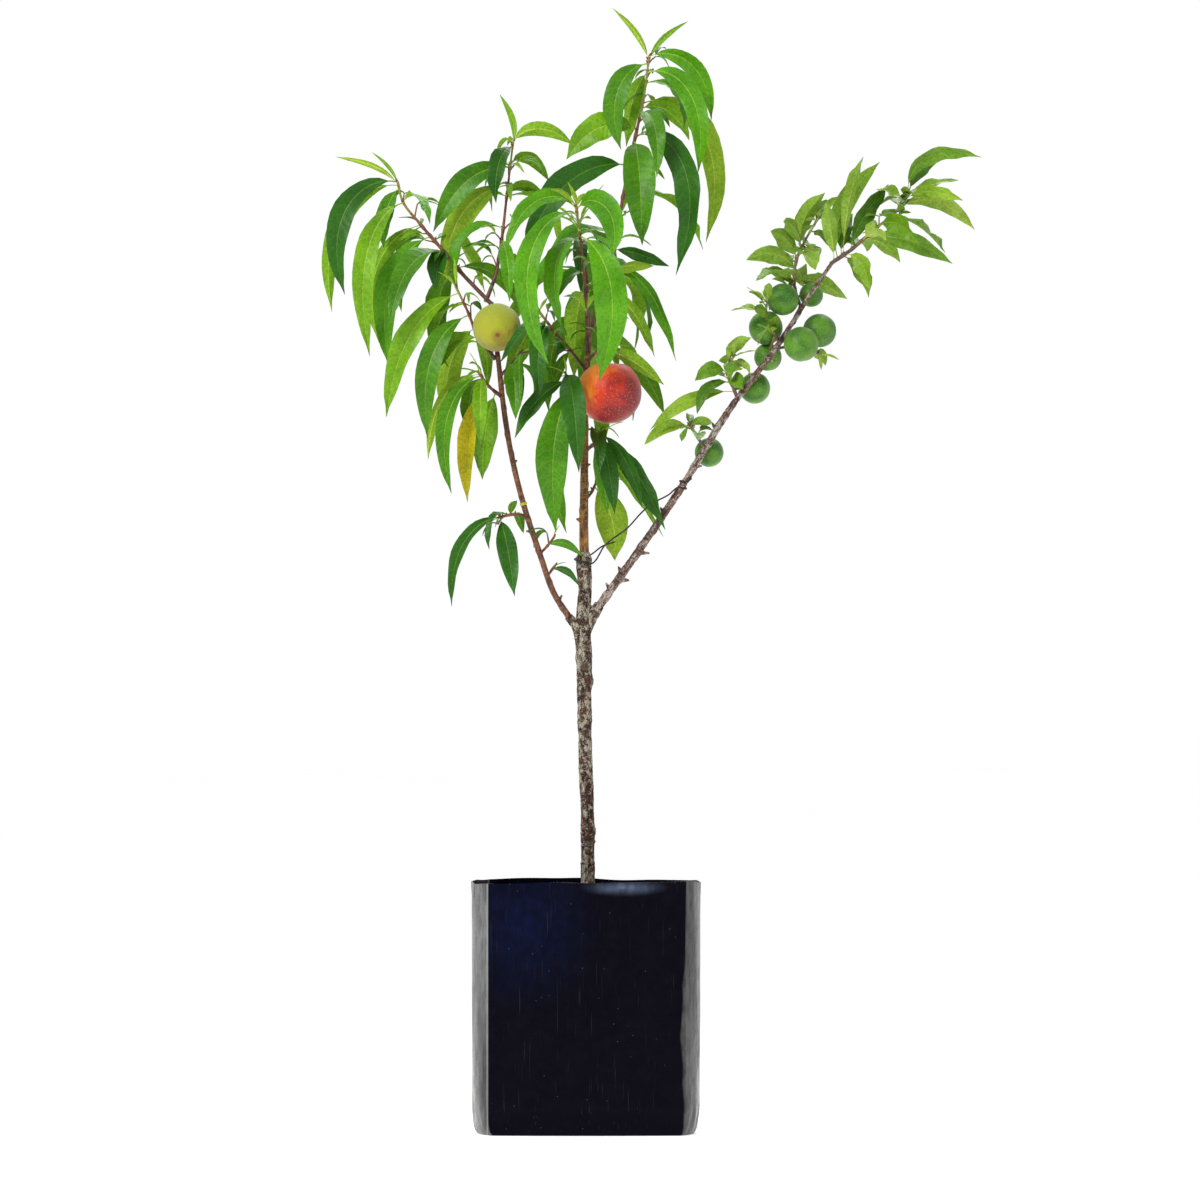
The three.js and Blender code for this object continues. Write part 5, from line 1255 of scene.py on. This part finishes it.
SINK = 2.5
FOOT_SWELL = 1.25
NODE_SWELL = 0.45
NODE_LENGTH = 2.2
SHOOT_SIDES = 9
SPUR_SIDES = 6
SHOOT_ROW = 3.5
SHORT_SHOOT = 3
SHOOT_RELIEF = 0.12
SHOOT_GLOSS = 0.4
THIN_SMOOTH = 50
# A shoot's bark by its age, and the shares of its length from which the younger ones show
BARK_AGES = ("ripe", "reddish", "green")
REDDISH, GREEN = 1, 2
YOUNGER_FROM = [0.3, 0.78]
BUD_LENGTH = [2.6, 4.2]
BUD_SUNK = 0.6
BUD_RAISED = 0.8
BUD_OUT = 0.6
BUD_UP = 0.9
BUD_SHARES = np.array([0, 0.25, 0.6, 0.88, 1.0])
BUD_RADII = np.array([0.18, 0.3, 0.246, 0.126, 0.03])


def add_bud(sheaf, place, way, length, bark_age):
    rows = np.hstack([place + way * length * BUD_SHARES[:, None], length * BUD_RADII[:, None]])
    sheaf.add_tube(rows, SPUR_SIDES, bark_age)


def add_shoot(sheaf, coarse, roots, short, chance):
    """A shoot swollen at its leaf bases, its bark younger towards the bud at its tip."""
    rows = sample_line(coarse, SHOOT_ROW)
    foot = rows[0] * [1, 1, 1, FOOT_SWELL]
    foot[:3] -= direction_at(rows, 0) * SINK
    rows = np.vstack([foot, rows])
    if roots:
        nearest_root = np.min([np.linalg.norm(rows[:, :3] - root, axis=1) for root in roots], 0)
        rows[:, 3] *= 1 + NODE_SWELL * np.exp(-(nearest_root / NODE_LENGTH) ** 2)
    share = travelled_along(rows) / travelled_along(rows)[-1]
    age = np.searchsorted(YOUNGER_FROM, share[:-1], "right")
    if short:
        age = np.minimum(age, REDDISH)
    sheaf.add_tube(rows, SHOOT_SIDES, age[:, None])
    way = direction_at(rows, len(rows) - 1)
    add_bud(sheaf, rows[-1, :3] - way * BUD_SUNK, way, chance.uniform(*BUD_LENGTH), int(age[-1]))


def make_twigs(crown, chance):
    """The shoots with a bud in each axil, and the short spurs."""
    for kind in (PEACH, PLUM):
        sheaf = Sheaf()
        for mass in (mass for mass in MASSES if mass["kind"] is kind):
            sheaf.nodes.append(mass["name"])
            own = [grown for grown in crown.grown if grown["owner"] == mass["name"]]
            roots = [grown["leaf"].root for grown in own]
            for shoot, coarse in zip(mass["shoots"], mass["rows"]):
                add_shoot(sheaf, coarse, roots, len(shoot["via"]) < SHORT_SHOOT, chance)
            for leaf in (grown["leaf"] for grown in own if grown["rank"] != "fine"):
                level = np.array([math.cos(leaf.azimuth), math.sin(leaf.azimuth), 0])
                way = unit(level * BUD_OUT + UPRIGHT * BUD_UP)
                add_bud(sheaf, leaf.root + way * BUD_RAISED, way, chance.uniform(*BUD_LENGTH), REDDISH)
            for rows in mass["spurs"]:
                sheaf.add_tube(rows, SPUR_SIDES, REDDISH if kind is PEACH else GREEN)
        materials = [mottled(f"{kind.name} shoot {age}", SHOOT_RELIEF, SHOOT_GLOSS) for age in BARK_AGES]
        sheaf.place(f"{kind.name}_twigs", materials, "bark", THIN_SMOOTH)


# Trunk and boughs

BARK_SIDES = 28
BARK_ROW = 3.0
TRUNK_SUNK_FOOT = [1.6, 0, TRUNK_FOOT - 4, 11.4]
# Barks: ground, streaks and crust, shares of crust and of bands, lean and roughness, then relief and gloss
BARKS = {
    "trunk": ([(88, 50, 34), (28, 11, 7), (196, 192, 172), 0.66, 0.12, (0, 0, 0), 0.78], 1.1, 0.25),
    "left": ([(112, 54, 26), (50, 22, 14), (180, 124, 74), 0.2, 0.3, (0, 0.2, 0), 0.36], 0.3, 0.5),
    "leader": ([(150, 94, 44), (84, 48, 28), (206, 160, 80), 0.4, 0.4, (0, 0, 0), 0.46], 0.4, 0.4),
    "right": ([(118, 78, 60), (60, 32, 26), (206, 196, 184), 0.6, 0.2, (0, -0.6, 0), 0.55], 0.8, 0.4),
}
# Skins: voxel size, height of the bark's streaks, spacing, length and height of its knots, and seed
SKINS = {
    "trunk": (0.75, 0.66, 31, 5, 1.5, 3), "left": (0.5, 0.16, 24, 2.4, 0.5, 5),
    "leader": (0.5, 0.26, 22, 3, 0.7, 8), "right": (0.5, 0.42, 19, 2.6, 0.8, 11),
}
# Cut stubs: height, turn round the limb in degrees, length and radius
STUBS = {
    "trunk": [(273, 10, 5, 1.8), (402, 200, 4, 1.6)],
    "left": [(505, 20, 6, 1.3), (571, 170, 5, 1.2), (636, 40, 5, 1.2)],
    "leader": [(580, 190, 6, 1.6), (633, 15, 5, 1.3), (676, 160, 5, 1.2)],
    "right": [(515, 170, 7, 1.6), (526, 20, 9, 1.7), (531, 200, 7, 1.5), (552, 10, 10, 1.7),
              (588, 190, 6, 1.4), (634, 20, 6, 1.3), (668, 195, 7, 1.4), (716, 190, 6, 1.3),
              (735, 10, 7, 1.3)],
}
STUB_SHARES = np.array([0, 0.45, 0.8, 1])
STUB_RADII = np.array([1.5, 1, 0.8, 0.45])
STUB_LEAN = 0.55
STUB_SUNK = 0.5
# Bark in layers of noise: strength, pitch across and along the limb, and shift
BARK_NOISE = [
    (0.8, (0.42, 0.42, 0.035), (0, 0, 0)), (1.1, (0.09, 0.09, 0.07), (0, 0, 0)),
    (0.5, (0.9, 0.9, 0.62), (0, 0, 0)), (0.35, (0, 0, 0.42), (3.1, 7.7, 0)),
]
KNOT_TURN_DEGREES = 144
KNOT_TURN_JITTER = 0.4
KNOT_BREADTH = 3.6
KNOT_FIRST_TURN = 6
KNOT_SPREAD = [0.6, 1.35]
FIRST_KNOT = 12.0
LAST_KNOT = 6
SCAR_HEIGHT = 0.16
SCAR_LENGTH = 1.2
SCAR_ABOVE = 1.5


def collar_rows(line, foot):
    """The graft collar of the trunk, swelling in line with the bough that it carries."""
    start = np.array(line[0][:3], float)
    away = direction_at(sample_line(line, LIMB_STEP), 0)
    radius = line[0][3] * COLLAR_SWELL
    neck = [*(start - away * COLLAR_NECK), radius * NECK_SWELL]
    return sample_line([foot, neck, [*start, radius]], BARK_ROW)


def stub_rows(limb, height, turn, length, radius):
    row, along = row_at_height(limb, height)
    out = unit(spoke(along, math.radians(turn)) + along * STUB_LEAN)
    places = row[:3] + out * (row[3] * STUB_SUNK + length * STUB_SHARES)[:, None]
    return np.column_stack([places, radius * STUB_RADII])


def weathered(obj, limb, relief, knot_spacing, knot_length, knot_height, chance):
    """Raises the bark's streaks, bands, knots and leaf scars on a limb's own surface."""
    points, normals = read_points(obj), read_vectors(obj.data.vertex_normals, "vector")
    travelled = travelled_along(limb)
    index = np.linalg.norm(points[:, None] - limb[None, :, :3], axis=2).argmin(1)
    along = ways_along(limb)[index]
    out = points - limb[index, :3]
    ahead = (out * along).sum(1)
    distance = travelled[index] + ahead
    out -= along * ahead[:, None]
    across, over = across_and_over(unit(ways_along(limb).mean(0)))
    turn = np.arctan2(out @ over, out @ across)
    knots = np.zeros(len(points))
    place, angle = FIRST_KNOT, chance.uniform(0, KNOT_FIRST_TURN)
    while place < travelled[-1] - LAST_KNOT:
        gap = (turn - angle + math.pi) % (2 * math.pi) - math.pi
        beside = np.linalg.norm(out, axis=1) * gap
        knots += np.exp(-((distance - place) / knot_length) ** 2 - (beside / KNOT_BREADTH) ** 2)
        knots += SCAR_HEIGHT * np.exp(-((distance - place - SCAR_ABOVE) / SCAR_LENGTH) ** 2)
        place += knot_spacing * chance.uniform(*KNOT_SPREAD)
        angle += math.radians(KNOT_TURN_DEGREES) + chance.uniform(-KNOT_TURN_JITTER, KNOT_TURN_JITTER)
    unrolled = np.column_stack([points[:, :2], distance])
    rough = sum(strength * soft_noise(unrolled, pitch, shift) for strength, pitch, shift in BARK_NOISE)
    write_points(obj, points + normals * (relief * rough + knot_height * knots)[:, None])


def bark_limb(name, lines, node):
    """One weathered skin over a limb's lines and stubs, in place of its node."""
    limb = lines[0]
    values, bump, gloss = BARKS[name]
    voxel, *heights, seed = SKINS[name]
    sheaf = Sheaf()
    for rows in [*lines, *(stub_rows(limb, *stub) for stub in STUBS[name])]:
        sheaf.add_tube(rows, BARK_SIDES)
    piece = sheaf.build(f"bark_{name}", [finish(f"{name} bark", bark, values, bump, gloss)])
    modify(piece, "REMESH", mode="VOXEL", voxel_size=voxel * MM)
    weathered(piece, limb, *heights, random.Random(seed))
    settle(piece, [node])


def make_limbs():
    trunk = np.vstack([TRUNK_SUNK_FOOT, sample_line(TRUNK_LINE, BARK_ROW)])
    collars = [collar_rows(LEFT_LINE, LEFT_COLLAR_FOOT), collar_rows(RIGHT_LINE, RIGHT_COLLAR_FOOT)]
    bark_limb("trunk", [trunk, *collars], "trunk")
    for name, line in BOUGH_LINES.items():
        bark_limb(name, [foot_moved(sample_line(line, BARK_ROW), GAP - SINK)], f"bough_{name}")


# Fruit

FRUIT_STALK = 1.2
STALK_SWELLS = [1.3, 1, 1.4]
STALK_REACH = 0.72
STALK_ARCH = 0.6
STALK_ROW = 2.5
STALK_SIDES = 8
PLUM_SHIFT = 3.7
# Peaches by their mass: name, the stalk's way if it isn't straight to the shoot, and shift of their noise
PEACHES = {
    "foliage_centre_fruit": ("peach_red", None, 2.3),
    "foliage_left_fruit": ("peach_green", (-0.05, 0.94, 0.34), 5.1),
}
# Fruit: segments and rings, the suture's turn, and the depths of the cavity, the groove and the tip's dimple
FRUIT_SHAPES = {
    "peach_red": (72, 48, 2.1, 0.2, 0.035, 0.02), "peach_green": (72, 48, 0.6, 0.2, 0.02, 0.05),
    "plum": (40, 26, 1.4, 0.1, 0.02, 0.0),
}
# Peach skins: the values of the effect's inputs in their order, relief, gloss, and the rest by name
PEACH_SKINS = {
    "peach_red": (
        [(214, 122, 16), (188, 44, 10), (126, 20, 30), (232, 170, 104), 0.4, (0.0219, -0.027, 0.704),
         (0.86, -0.2, -0.46), 0.0305],
        0.16, 0.3, {"Roughness": 0.44, "Sheen_Weight": 0.14, "Sheen_Roughness": 0.5}),
    "peach_green": (
        [(150, 160, 26), (150, 150, 18), (128, 106, 18), (206, 204, 96), 0.3, (-0.0852, -0.023, 0.7654),
         (0.3, 0.2, -0.93), 0.0228, (116, 70, 20), (0.05, -0.94, -0.34), 0.0],
        0.18, 0.25, {"Roughness": 0.6, "Sheen_Weight": 0.2, "Sheen_Roughness": 0.6}),
}
CAVITY_REACH = 0.34
GROOVE_REACH = 0.13
GROOVE_FADE = 0.6
SHOULDER_TURN = 0.42
SHOULDER_REACH = 0.3
SHOULDER_SHARE = 0.35
DIMPLE_REACH = 0.2
UNEVEN_PITCH = 1.6
UNEVEN_SHARE = 0.022


def bump_at(distance, reach):
    return np.exp(-((distance / reach) ** 2))


def fruit_ball(name, middle, radius, stalk_way, shift, material):
    """A ball drawn in at its stalk, with a suture down one side, swollen unevenly."""
    segments, rings, suture, cavity, groove, dimple = FRUIT_SHAPES[name]
    ball = primitive(name, bpy.ops.mesh.primitive_uv_sphere_add, segments=segments, ring_count=rings,
                     radius=radius * MM, location=tuple(middle * MM))
    bpy.ops.object.transform_apply(location=True, rotation=True, scale=True)
    out = read_points(ball) - middle
    out /= np.linalg.norm(out, axis=1)[:, None]
    stalk_way = unit(np.array(stalk_way, float))
    across, over = across_and_over(stalk_way)
    lean = np.arccos(np.clip(out @ stalk_way, -1, 1))
    turn = np.arctan2(out @ over, out @ across) - suture
    turn = (turn + math.pi) % (2 * math.pi) - math.pi
    inwards = cavity * bump_at(lean, CAVITY_REACH) + dimple * bump_at(math.pi - lean, DIMPLE_REACH)
    inwards += groove * bump_at(turn, GROOVE_REACH) * np.sin(lean) ** GROOVE_FADE
    outwards = groove * SHOULDER_SHARE * bump_at(np.abs(turn) - SHOULDER_TURN, SHOULDER_REACH) * np.sin(lean)
    outwards += UNEVEN_SHARE * soft_noise(out, UNEVEN_PITCH, shift)
    write_points(ball, middle + out * (radius * (1 - inwards + outwards))[:, None])
    ball.data.materials.append(material)
    return ball


def make_fruit():
    """The two peaches, the plums as one piece, and the stalks that carry them."""
    stalk_finish = mottled("fruit stalk", relief=0.1)
    plum_finish = mottled("plum skin", relief=0.16, gloss=0.3, Sheen_Weight=0.08, Sheen_Roughness=0.55)
    stalks, plums, plum_nodes = {"peach": Sheaf(), "plum": Sheaf()}, [], []
    for mass in MASSES:
        for order, (share, *middle, radius) in enumerate(mass.get("fruit", [])):
            root, middle = place_at_share(mass["rows"][0], share)[0], np.array(middle, float)
            way = unit(root - middle)
            inner = middle + way * radius * STALK_REACH
            places = (root, (root + inner) / 2 + UPRIGHT * STALK_ARCH, inner)
            line = [[*place, FRUIT_STALK * swell] for place, swell in zip(places, STALK_SWELLS)]
            sheaf = stalks[mass["kind"].name]
            sheaf.add_tube(sample_line(line, STALK_ROW), STALK_SIDES)
            sheaf.nodes.append(mass["name"])
            if mass["kind"] is PLUM:
                plums.append(fruit_ball("plum", middle, radius, way, order * PLUM_SHIFT, plum_finish))
                plum_nodes.append(mass["name"])
                continue
            name, stalk_way, shift = PEACHES[mass["name"]]
            values, relief, gloss, constants = PEACH_SKINS[name]
            skin = finish(f"{name} skin", fruit_skin, values, relief, gloss, **constants)
            ball = fruit_ball(name, middle, radius, stalk_way or way, shift, skin)
            settle(ball, [mass["name"]])
    only(plums[0])
    for ball in plums[1:]:
        ball.select_set(True)
    bpy.ops.object.join()
    plums[0].name = "plums"
    settle(plums[0], plum_nodes)
    for kind, sheaf in stalks.items():
        sheaf.place(f"{kind}_stalks", [stalk_finish], "bark", THIN_SMOOTH)


# Bag, potting mix and wire

FOLD_SMOOTH = 40
BAG_WIDTH = 220
BAG_DEPTH = 206
BAG_HEIGHT = 240
BAG_WALL = 1.6
BAG_FILM = 0.9
BAG_TUCK = 24
BAG_FOOT = 0.95
CREASE_X = 95.0
CREASE_Y = 96.0
PANEL_BOW = 2.6
PANEL_STEPS = 56
WALL_LEVELS = 84
UNDER_SHARES = [0, 0.2, 0.4, 0.6, 0.78, 0.9, 0.97]
UNDER_RISE = 1.2
BAG_WELD = 0.01
BAG_SLACK = 1.6
RIM_FROM = 0.86
TOE_HEIGHT = 40
# Folds of the bag's wall: depth, its shares all over, at the rim and at the toe, then pitch and shift
BAG_FOLDS = [
    (1.5, 1, 0, 0, (0.016, 0.016, 0.006), (0, 0, 4)),
    (0.9, 0.6, 1, 1, (0.05, 0.05, 0.018), (0, 0, 9)),
    (0.7, 0.25, 0.4, 1, (0.11, 0.11, 0.07), (0, 0, 2)),
]
RIM_DROP = 1.0
RIM_DROP_POWER = 3
# Waves of the bag's rim: height, number round it, and shift
RIM_WAVES = [(0.9, 2, 0.6), (0.6, 5, 2), (0.35, 11, 0)]
SOIL_TOP = 215.0
SOIL_ROWS = 56
SOIL_MIDDLE = 0.04
SOIL_DIP = 1.5
SOIL_FLATTENED = 0.6
SOIL_FLAT_REACH = 30
# Layers of the mix's noise, the crumbs last: strength, pitch and shift
SOIL_NOISE = [(3.2, 0.022, 3), (2.4, 0.085, 8), (1.3, 0.3, 1)]
FILL_CLEAR = 2.6
FILL_WALL = [[BAG_FOOT, 3.0], [1, 60.0]]
TRUNK_X = 1.6
CHIPS = 520
CHIPS_REACH = 0.93
CHIPS_CLEAR = 13
CHIP_TURNS = 5
CHIP_TILT = 0.25
CHIP_RAISED = 0.3
CHIP_SIDES = 5
CHIP_SMOOTH = 30
CHIP_LENGTH = [2.5, 11]
CHIP_RADIUS = [0.8, 2.0]
CHIP_SHARES = np.array([-0.5, -0.4, 0.05, 0.425, 0.5])
CHIP_RADII = np.array([0.45, 0.95, 1.05, 0.9, 0.4])


def panel_outline(inset):
    """The bag's plan: four soft panels between upright creases, as an even ring of points."""
    wide, deep = BAG_WIDTH / 2 - inset, BAG_DEPTH / 2 - inset
    crease_x, crease_y = CREASE_X - inset, CREASE_Y - inset
    t = np.linspace(-1, 1, PANEL_STEPS, endpoint=False)
    bow = 1 - np.abs(t) ** PANEL_BOW
    front = np.stack([t * crease_x, -(crease_y + (deep - crease_y) * bow)], 1)
    right = np.stack([crease_x + (wide - crease_x) * bow, t * crease_y], 1)
    return np.concatenate([front, right, -front, -right])


def bag_wall(ring, height):
    """The ring of points of the bag at a height, drawn in at the foot and creased by the fill."""
    placed = ring * (BAG_FOOT + (1 - BAG_FOOT) * min(1, math.sqrt(height / BAG_TUCK)))
    rim = max(0, height / BAG_HEIGHT - RIM_FROM) / (1 - RIM_FROM)
    toe = max(0, 1 - height / TOE_HEIGHT)
    points = np.column_stack([placed, np.full(len(placed), height)])
    inwards = np.full(len(placed), BAG_SLACK)
    for depth, steady, at_rim, at_toe, pitch, shift in BAG_FOLDS:
        inwards += depth * (steady + at_rim * rim + at_toe * toe) * soft_noise(points, pitch, shift)
    return placed - placed / np.linalg.norm(placed, axis=1)[:, None] * inwards[:, None]


def rim_drop(ring):
    """How far the wavy rim lies under the bag's full height."""
    angle = np.arctan2(ring[:, 1], ring[:, 0])
    return RIM_DROP + sum(height * np.sin(count * angle + shift) for height, count, shift in RIM_WAVES)


def make_bag():
    """A grid rolled up into the bag's foot and wall, closed, and given the film's thickness."""
    ring = panel_outline(0)
    around, levels = len(ring), len(UNDER_SHARES) + WALL_LEVELS
    bag = primitive("bag_shell", bpy.ops.mesh.primitive_grid_add, size=1, x_subdivisions=around,
                    y_subdivisions=levels)
    flat = read_points(bag) * MM + 0.5
    column = np.rint(flat[:, 0] * around).astype(int) % around
    level = np.rint(flat[:, 1] * levels).astype(int)
    rings = []
    for share in UNDER_SHARES:
        rings.append(np.column_stack([bag_wall(ring, 0) * share, np.full(around, UNDER_RISE * (1 - share))]))
    for height in BAG_HEIGHT * np.linspace(0, 1, WALL_LEVELS + 1):
        lowered = height - rim_drop(ring) * (height / BAG_HEIGHT) ** RIM_DROP_POWER
        rings.append(np.column_stack([bag_wall(ring, height), lowered]))
    write_points(bag, np.array(rings)[level, column])
    bpy.ops.object.mode_set(mode="EDIT")
    bpy.ops.mesh.select_all(action="SELECT")
    bpy.ops.mesh.remove_doubles(threshold=BAG_WELD * MM)
    bpy.ops.mesh.normals_make_consistent(inside=False)
    bpy.ops.object.mode_set(mode="OBJECT")
    modify(bag, "SOLIDIFY", thickness=BAG_FILM * MM, offset=-1)
    bag.data.materials.append(finish("black polythene", bag_film, relief=1.1, gloss=0.05))
    settle(bag, ["planter_bag"], FOLD_SMOOTH)


def soil_height(flat):
    """The height of the mix at each of several places, smoother beside the trunk."""
    points = np.column_stack([flat, np.zeros(len(flat))])
    near_trunk = np.exp(-((flat[:, 0] - TRUNK_X) ** 2 + flat[:, 1] ** 2) / SOIL_FLAT_REACH**2)
    *clods, crumbs = [strength * soft_noise(points, (pitch, pitch, 0), (0, 0, shift))
                      for strength, pitch, shift in SOIL_NOISE]
    return SOIL_TOP - SOIL_DIP + sum(clods) * (1 - SOIL_FLATTENED * near_trunk) + crumbs


def make_soil(chance):
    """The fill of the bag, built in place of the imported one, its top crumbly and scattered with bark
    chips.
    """
    ring = panel_outline(BAG_WALL + GAP + FILL_CLEAR)
    around = len(ring)
    rings = [np.column_stack([ring * share, np.full(around, height)]) for share, height in FILL_WALL]
    for share in [*np.linspace(1, SOIL_MIDDLE, SOIL_ROWS), SOIL_MIDDLE / 2]:
        rings.append(np.column_stack([ring * share, soil_height(ring * share)]))
    rings = np.array(rings)
    soil, chips = Sheaf(), Sheaf()
    soil.add_rings(rings, rings[..., :2] * MM, 0, 0)
    for _ in range(CHIPS):
        turn, share = chance.uniform(0, 2 * math.pi), math.sqrt(chance.random()) * CHIPS_REACH
        flat = ring[int(turn / (2 * math.pi) * around) % around] * share
        if math.hypot(flat[0] - TRUNK_X, flat[1]) < CHIPS_CLEAR:
            continue
        length, radius = chance.uniform(*CHIP_LENGTH), chance.uniform(*CHIP_RADIUS)
        lie, tilt = turn * CHIP_TURNS, chance.uniform(-CHIP_TILT, CHIP_TILT)
        way = unit(np.array([math.cos(lie), math.sin(lie), tilt]))
        middle = np.array([*flat, soil_height(flat[None])[0] + radius * CHIP_RAISED])
        places = middle + way * length * CHIP_SHARES[:, None]
        chips.add_tube(np.column_stack([places, radius * CHIP_RADII]), CHIP_SIDES)
    soil.nodes = chips.nodes = ["potting_mix"]
    soil.place("soil_fill", [mottled("potting mix", relief=1.2, gloss=0.2)], "potting_mix")
    chips.place("soil_chips", [mottled("bark chips", relief=0.5, gloss=0.25)], "potting_mix",
                CHIP_SMOOTH)


WIRE_ROW = 1.6
WIRE_SIDES = 10


def make_wire():
    sheaf = Sheaf()
    sheaf.add_tube(sample_line(WIRE_LINE, WIRE_ROW), WIRE_SIDES)
    sheaf.nodes = ["tie_wire"]
    sheaf.place("tie_wire_strand", [mottled("tie wire", relief=0.08, Metallic=0.7)], "wire", THIN_SMOOTH)


TAPE_HEIGHT = 598
TAPE_WIDTH = 2.8
TAPE_REACH = 0.7
TAPE_EDGE = 0.3
TAPE_SIDES = 24


def make_tape():
    """A turn of yellow grafting tape round the left bough."""
    row, along = row_at_height(LIMBS["left"], TAPE_HEIGHT)
    tape = primitive("graft_tape", bpy.ops.mesh.primitive_cylinder_add, vertices=TAPE_SIDES,
                     radius=(row[3] + TAPE_REACH) * MM, depth=TAPE_WIDTH * MM, location=tuple(row[:3] * MM),
                     rotation=Vector(along).to_track_quat("Z", "Y").to_euler())
    bpy.ops.object.transform_apply(location=True, rotation=True, scale=True)
    modify(tape, "BEVEL", width=TAPE_EDGE * MM, segments=2)
    tape.data.materials.append(mottled("yellow tape", relief=0.05))
    settle(tape, angle=FOLD_SMOOTH)


# Studio

CAMERA_PLACE = (0.0129, -14, 0.5065)
CAMERA_LENS = 441.3
SENSOR_WIDTH = 36
FLOOR_HEIGHT = -0.0004
FLOOR_GLOW = 0.55
SKY_LIGHT = 0.43
SKY_SEEN = 1.0
LIT_HEIGHT = 0.62
# Lights: name, place, size, power and tint
LIGHTS = [
    ("key", (-1.6, -2.2, 2.6), 1.0, 80, (1, 0.985, 0.96)),
    ("fill", (2.4, -2.0, 1.1), 2.2, 8, (0.96, 0.98, 1)),
    ("back", (0.5, 1.5, 2.8), 1.4, 44, (1, 1, 1)),
]


def stand(name, data, place, turned):
    """Puts a camera or a lamp in its place."""
    obj = bpy.data.objects.new(name, data)
    obj.location, obj.rotation_euler = place, turned
    bpy.context.scene.collection.objects.link(obj)
    return obj


def make_studio():
    """Camera, three lamps, a white sky that lights less than it shows, and a pale glowing floor."""
    scene = bpy.context.scene
    camera = bpy.data.cameras.new("camera")
    camera.lens, camera.sensor_width, camera.clip_end = CAMERA_LENS, SENSOR_WIDTH, 100
    scene.camera = stand("camera", camera, CAMERA_PLACE, (math.pi / 2, 0, 0))
    for name, place, size, power, tint in LIGHTS:
        lamp = bpy.data.lights.new(name, "AREA")
        lamp.size, lamp.energy, lamp.color = size, power, tint
        aim = Vector((0, 0, LIT_HEIGHT)) - Vector(place)
        stand(name, lamp, place, aim.to_track_quat("-Z", "Y").to_euler())
    scene.world = bpy.data.worlds.new("studio")
    scene.world.use_nodes = True
    tree = scene.world.node_tree
    sky = tree.nodes["Background"]
    sky.inputs["Color"].default_value = (1, 1, 1, 1)
    path = put(tree, "LightPath").outputs
    seen = Field(tree, path["Is Camera Ray"]).reckon("MAXIMUM", Field(tree, path["Is Glossy Ray"]))
    tree.links.new(seen.limited(0, 1, SKY_LIGHT, SKY_SEEN).socket, sky.inputs["Strength"])
    scene.view_settings.view_transform = "Standard"
    floor = primitive("floor", bpy.ops.mesh.primitive_plane_add, size=60, location=(0, 0, FLOOR_HEIGHT))
    glow = {"Emission_Color": (1, 1, 1, 1), "Emission_Strength": FLOOR_GLOW}
    floor.data.materials.append(mottled("pale floor", **glow))


make_studio()
make_bag()
make_soil(random.Random(41))
make_limbs()
crown = grow_crown()
make_leaves(crown, random.Random(17))
make_twigs(crown, random.Random(29))
make_fruit()
make_wire()
make_tape()
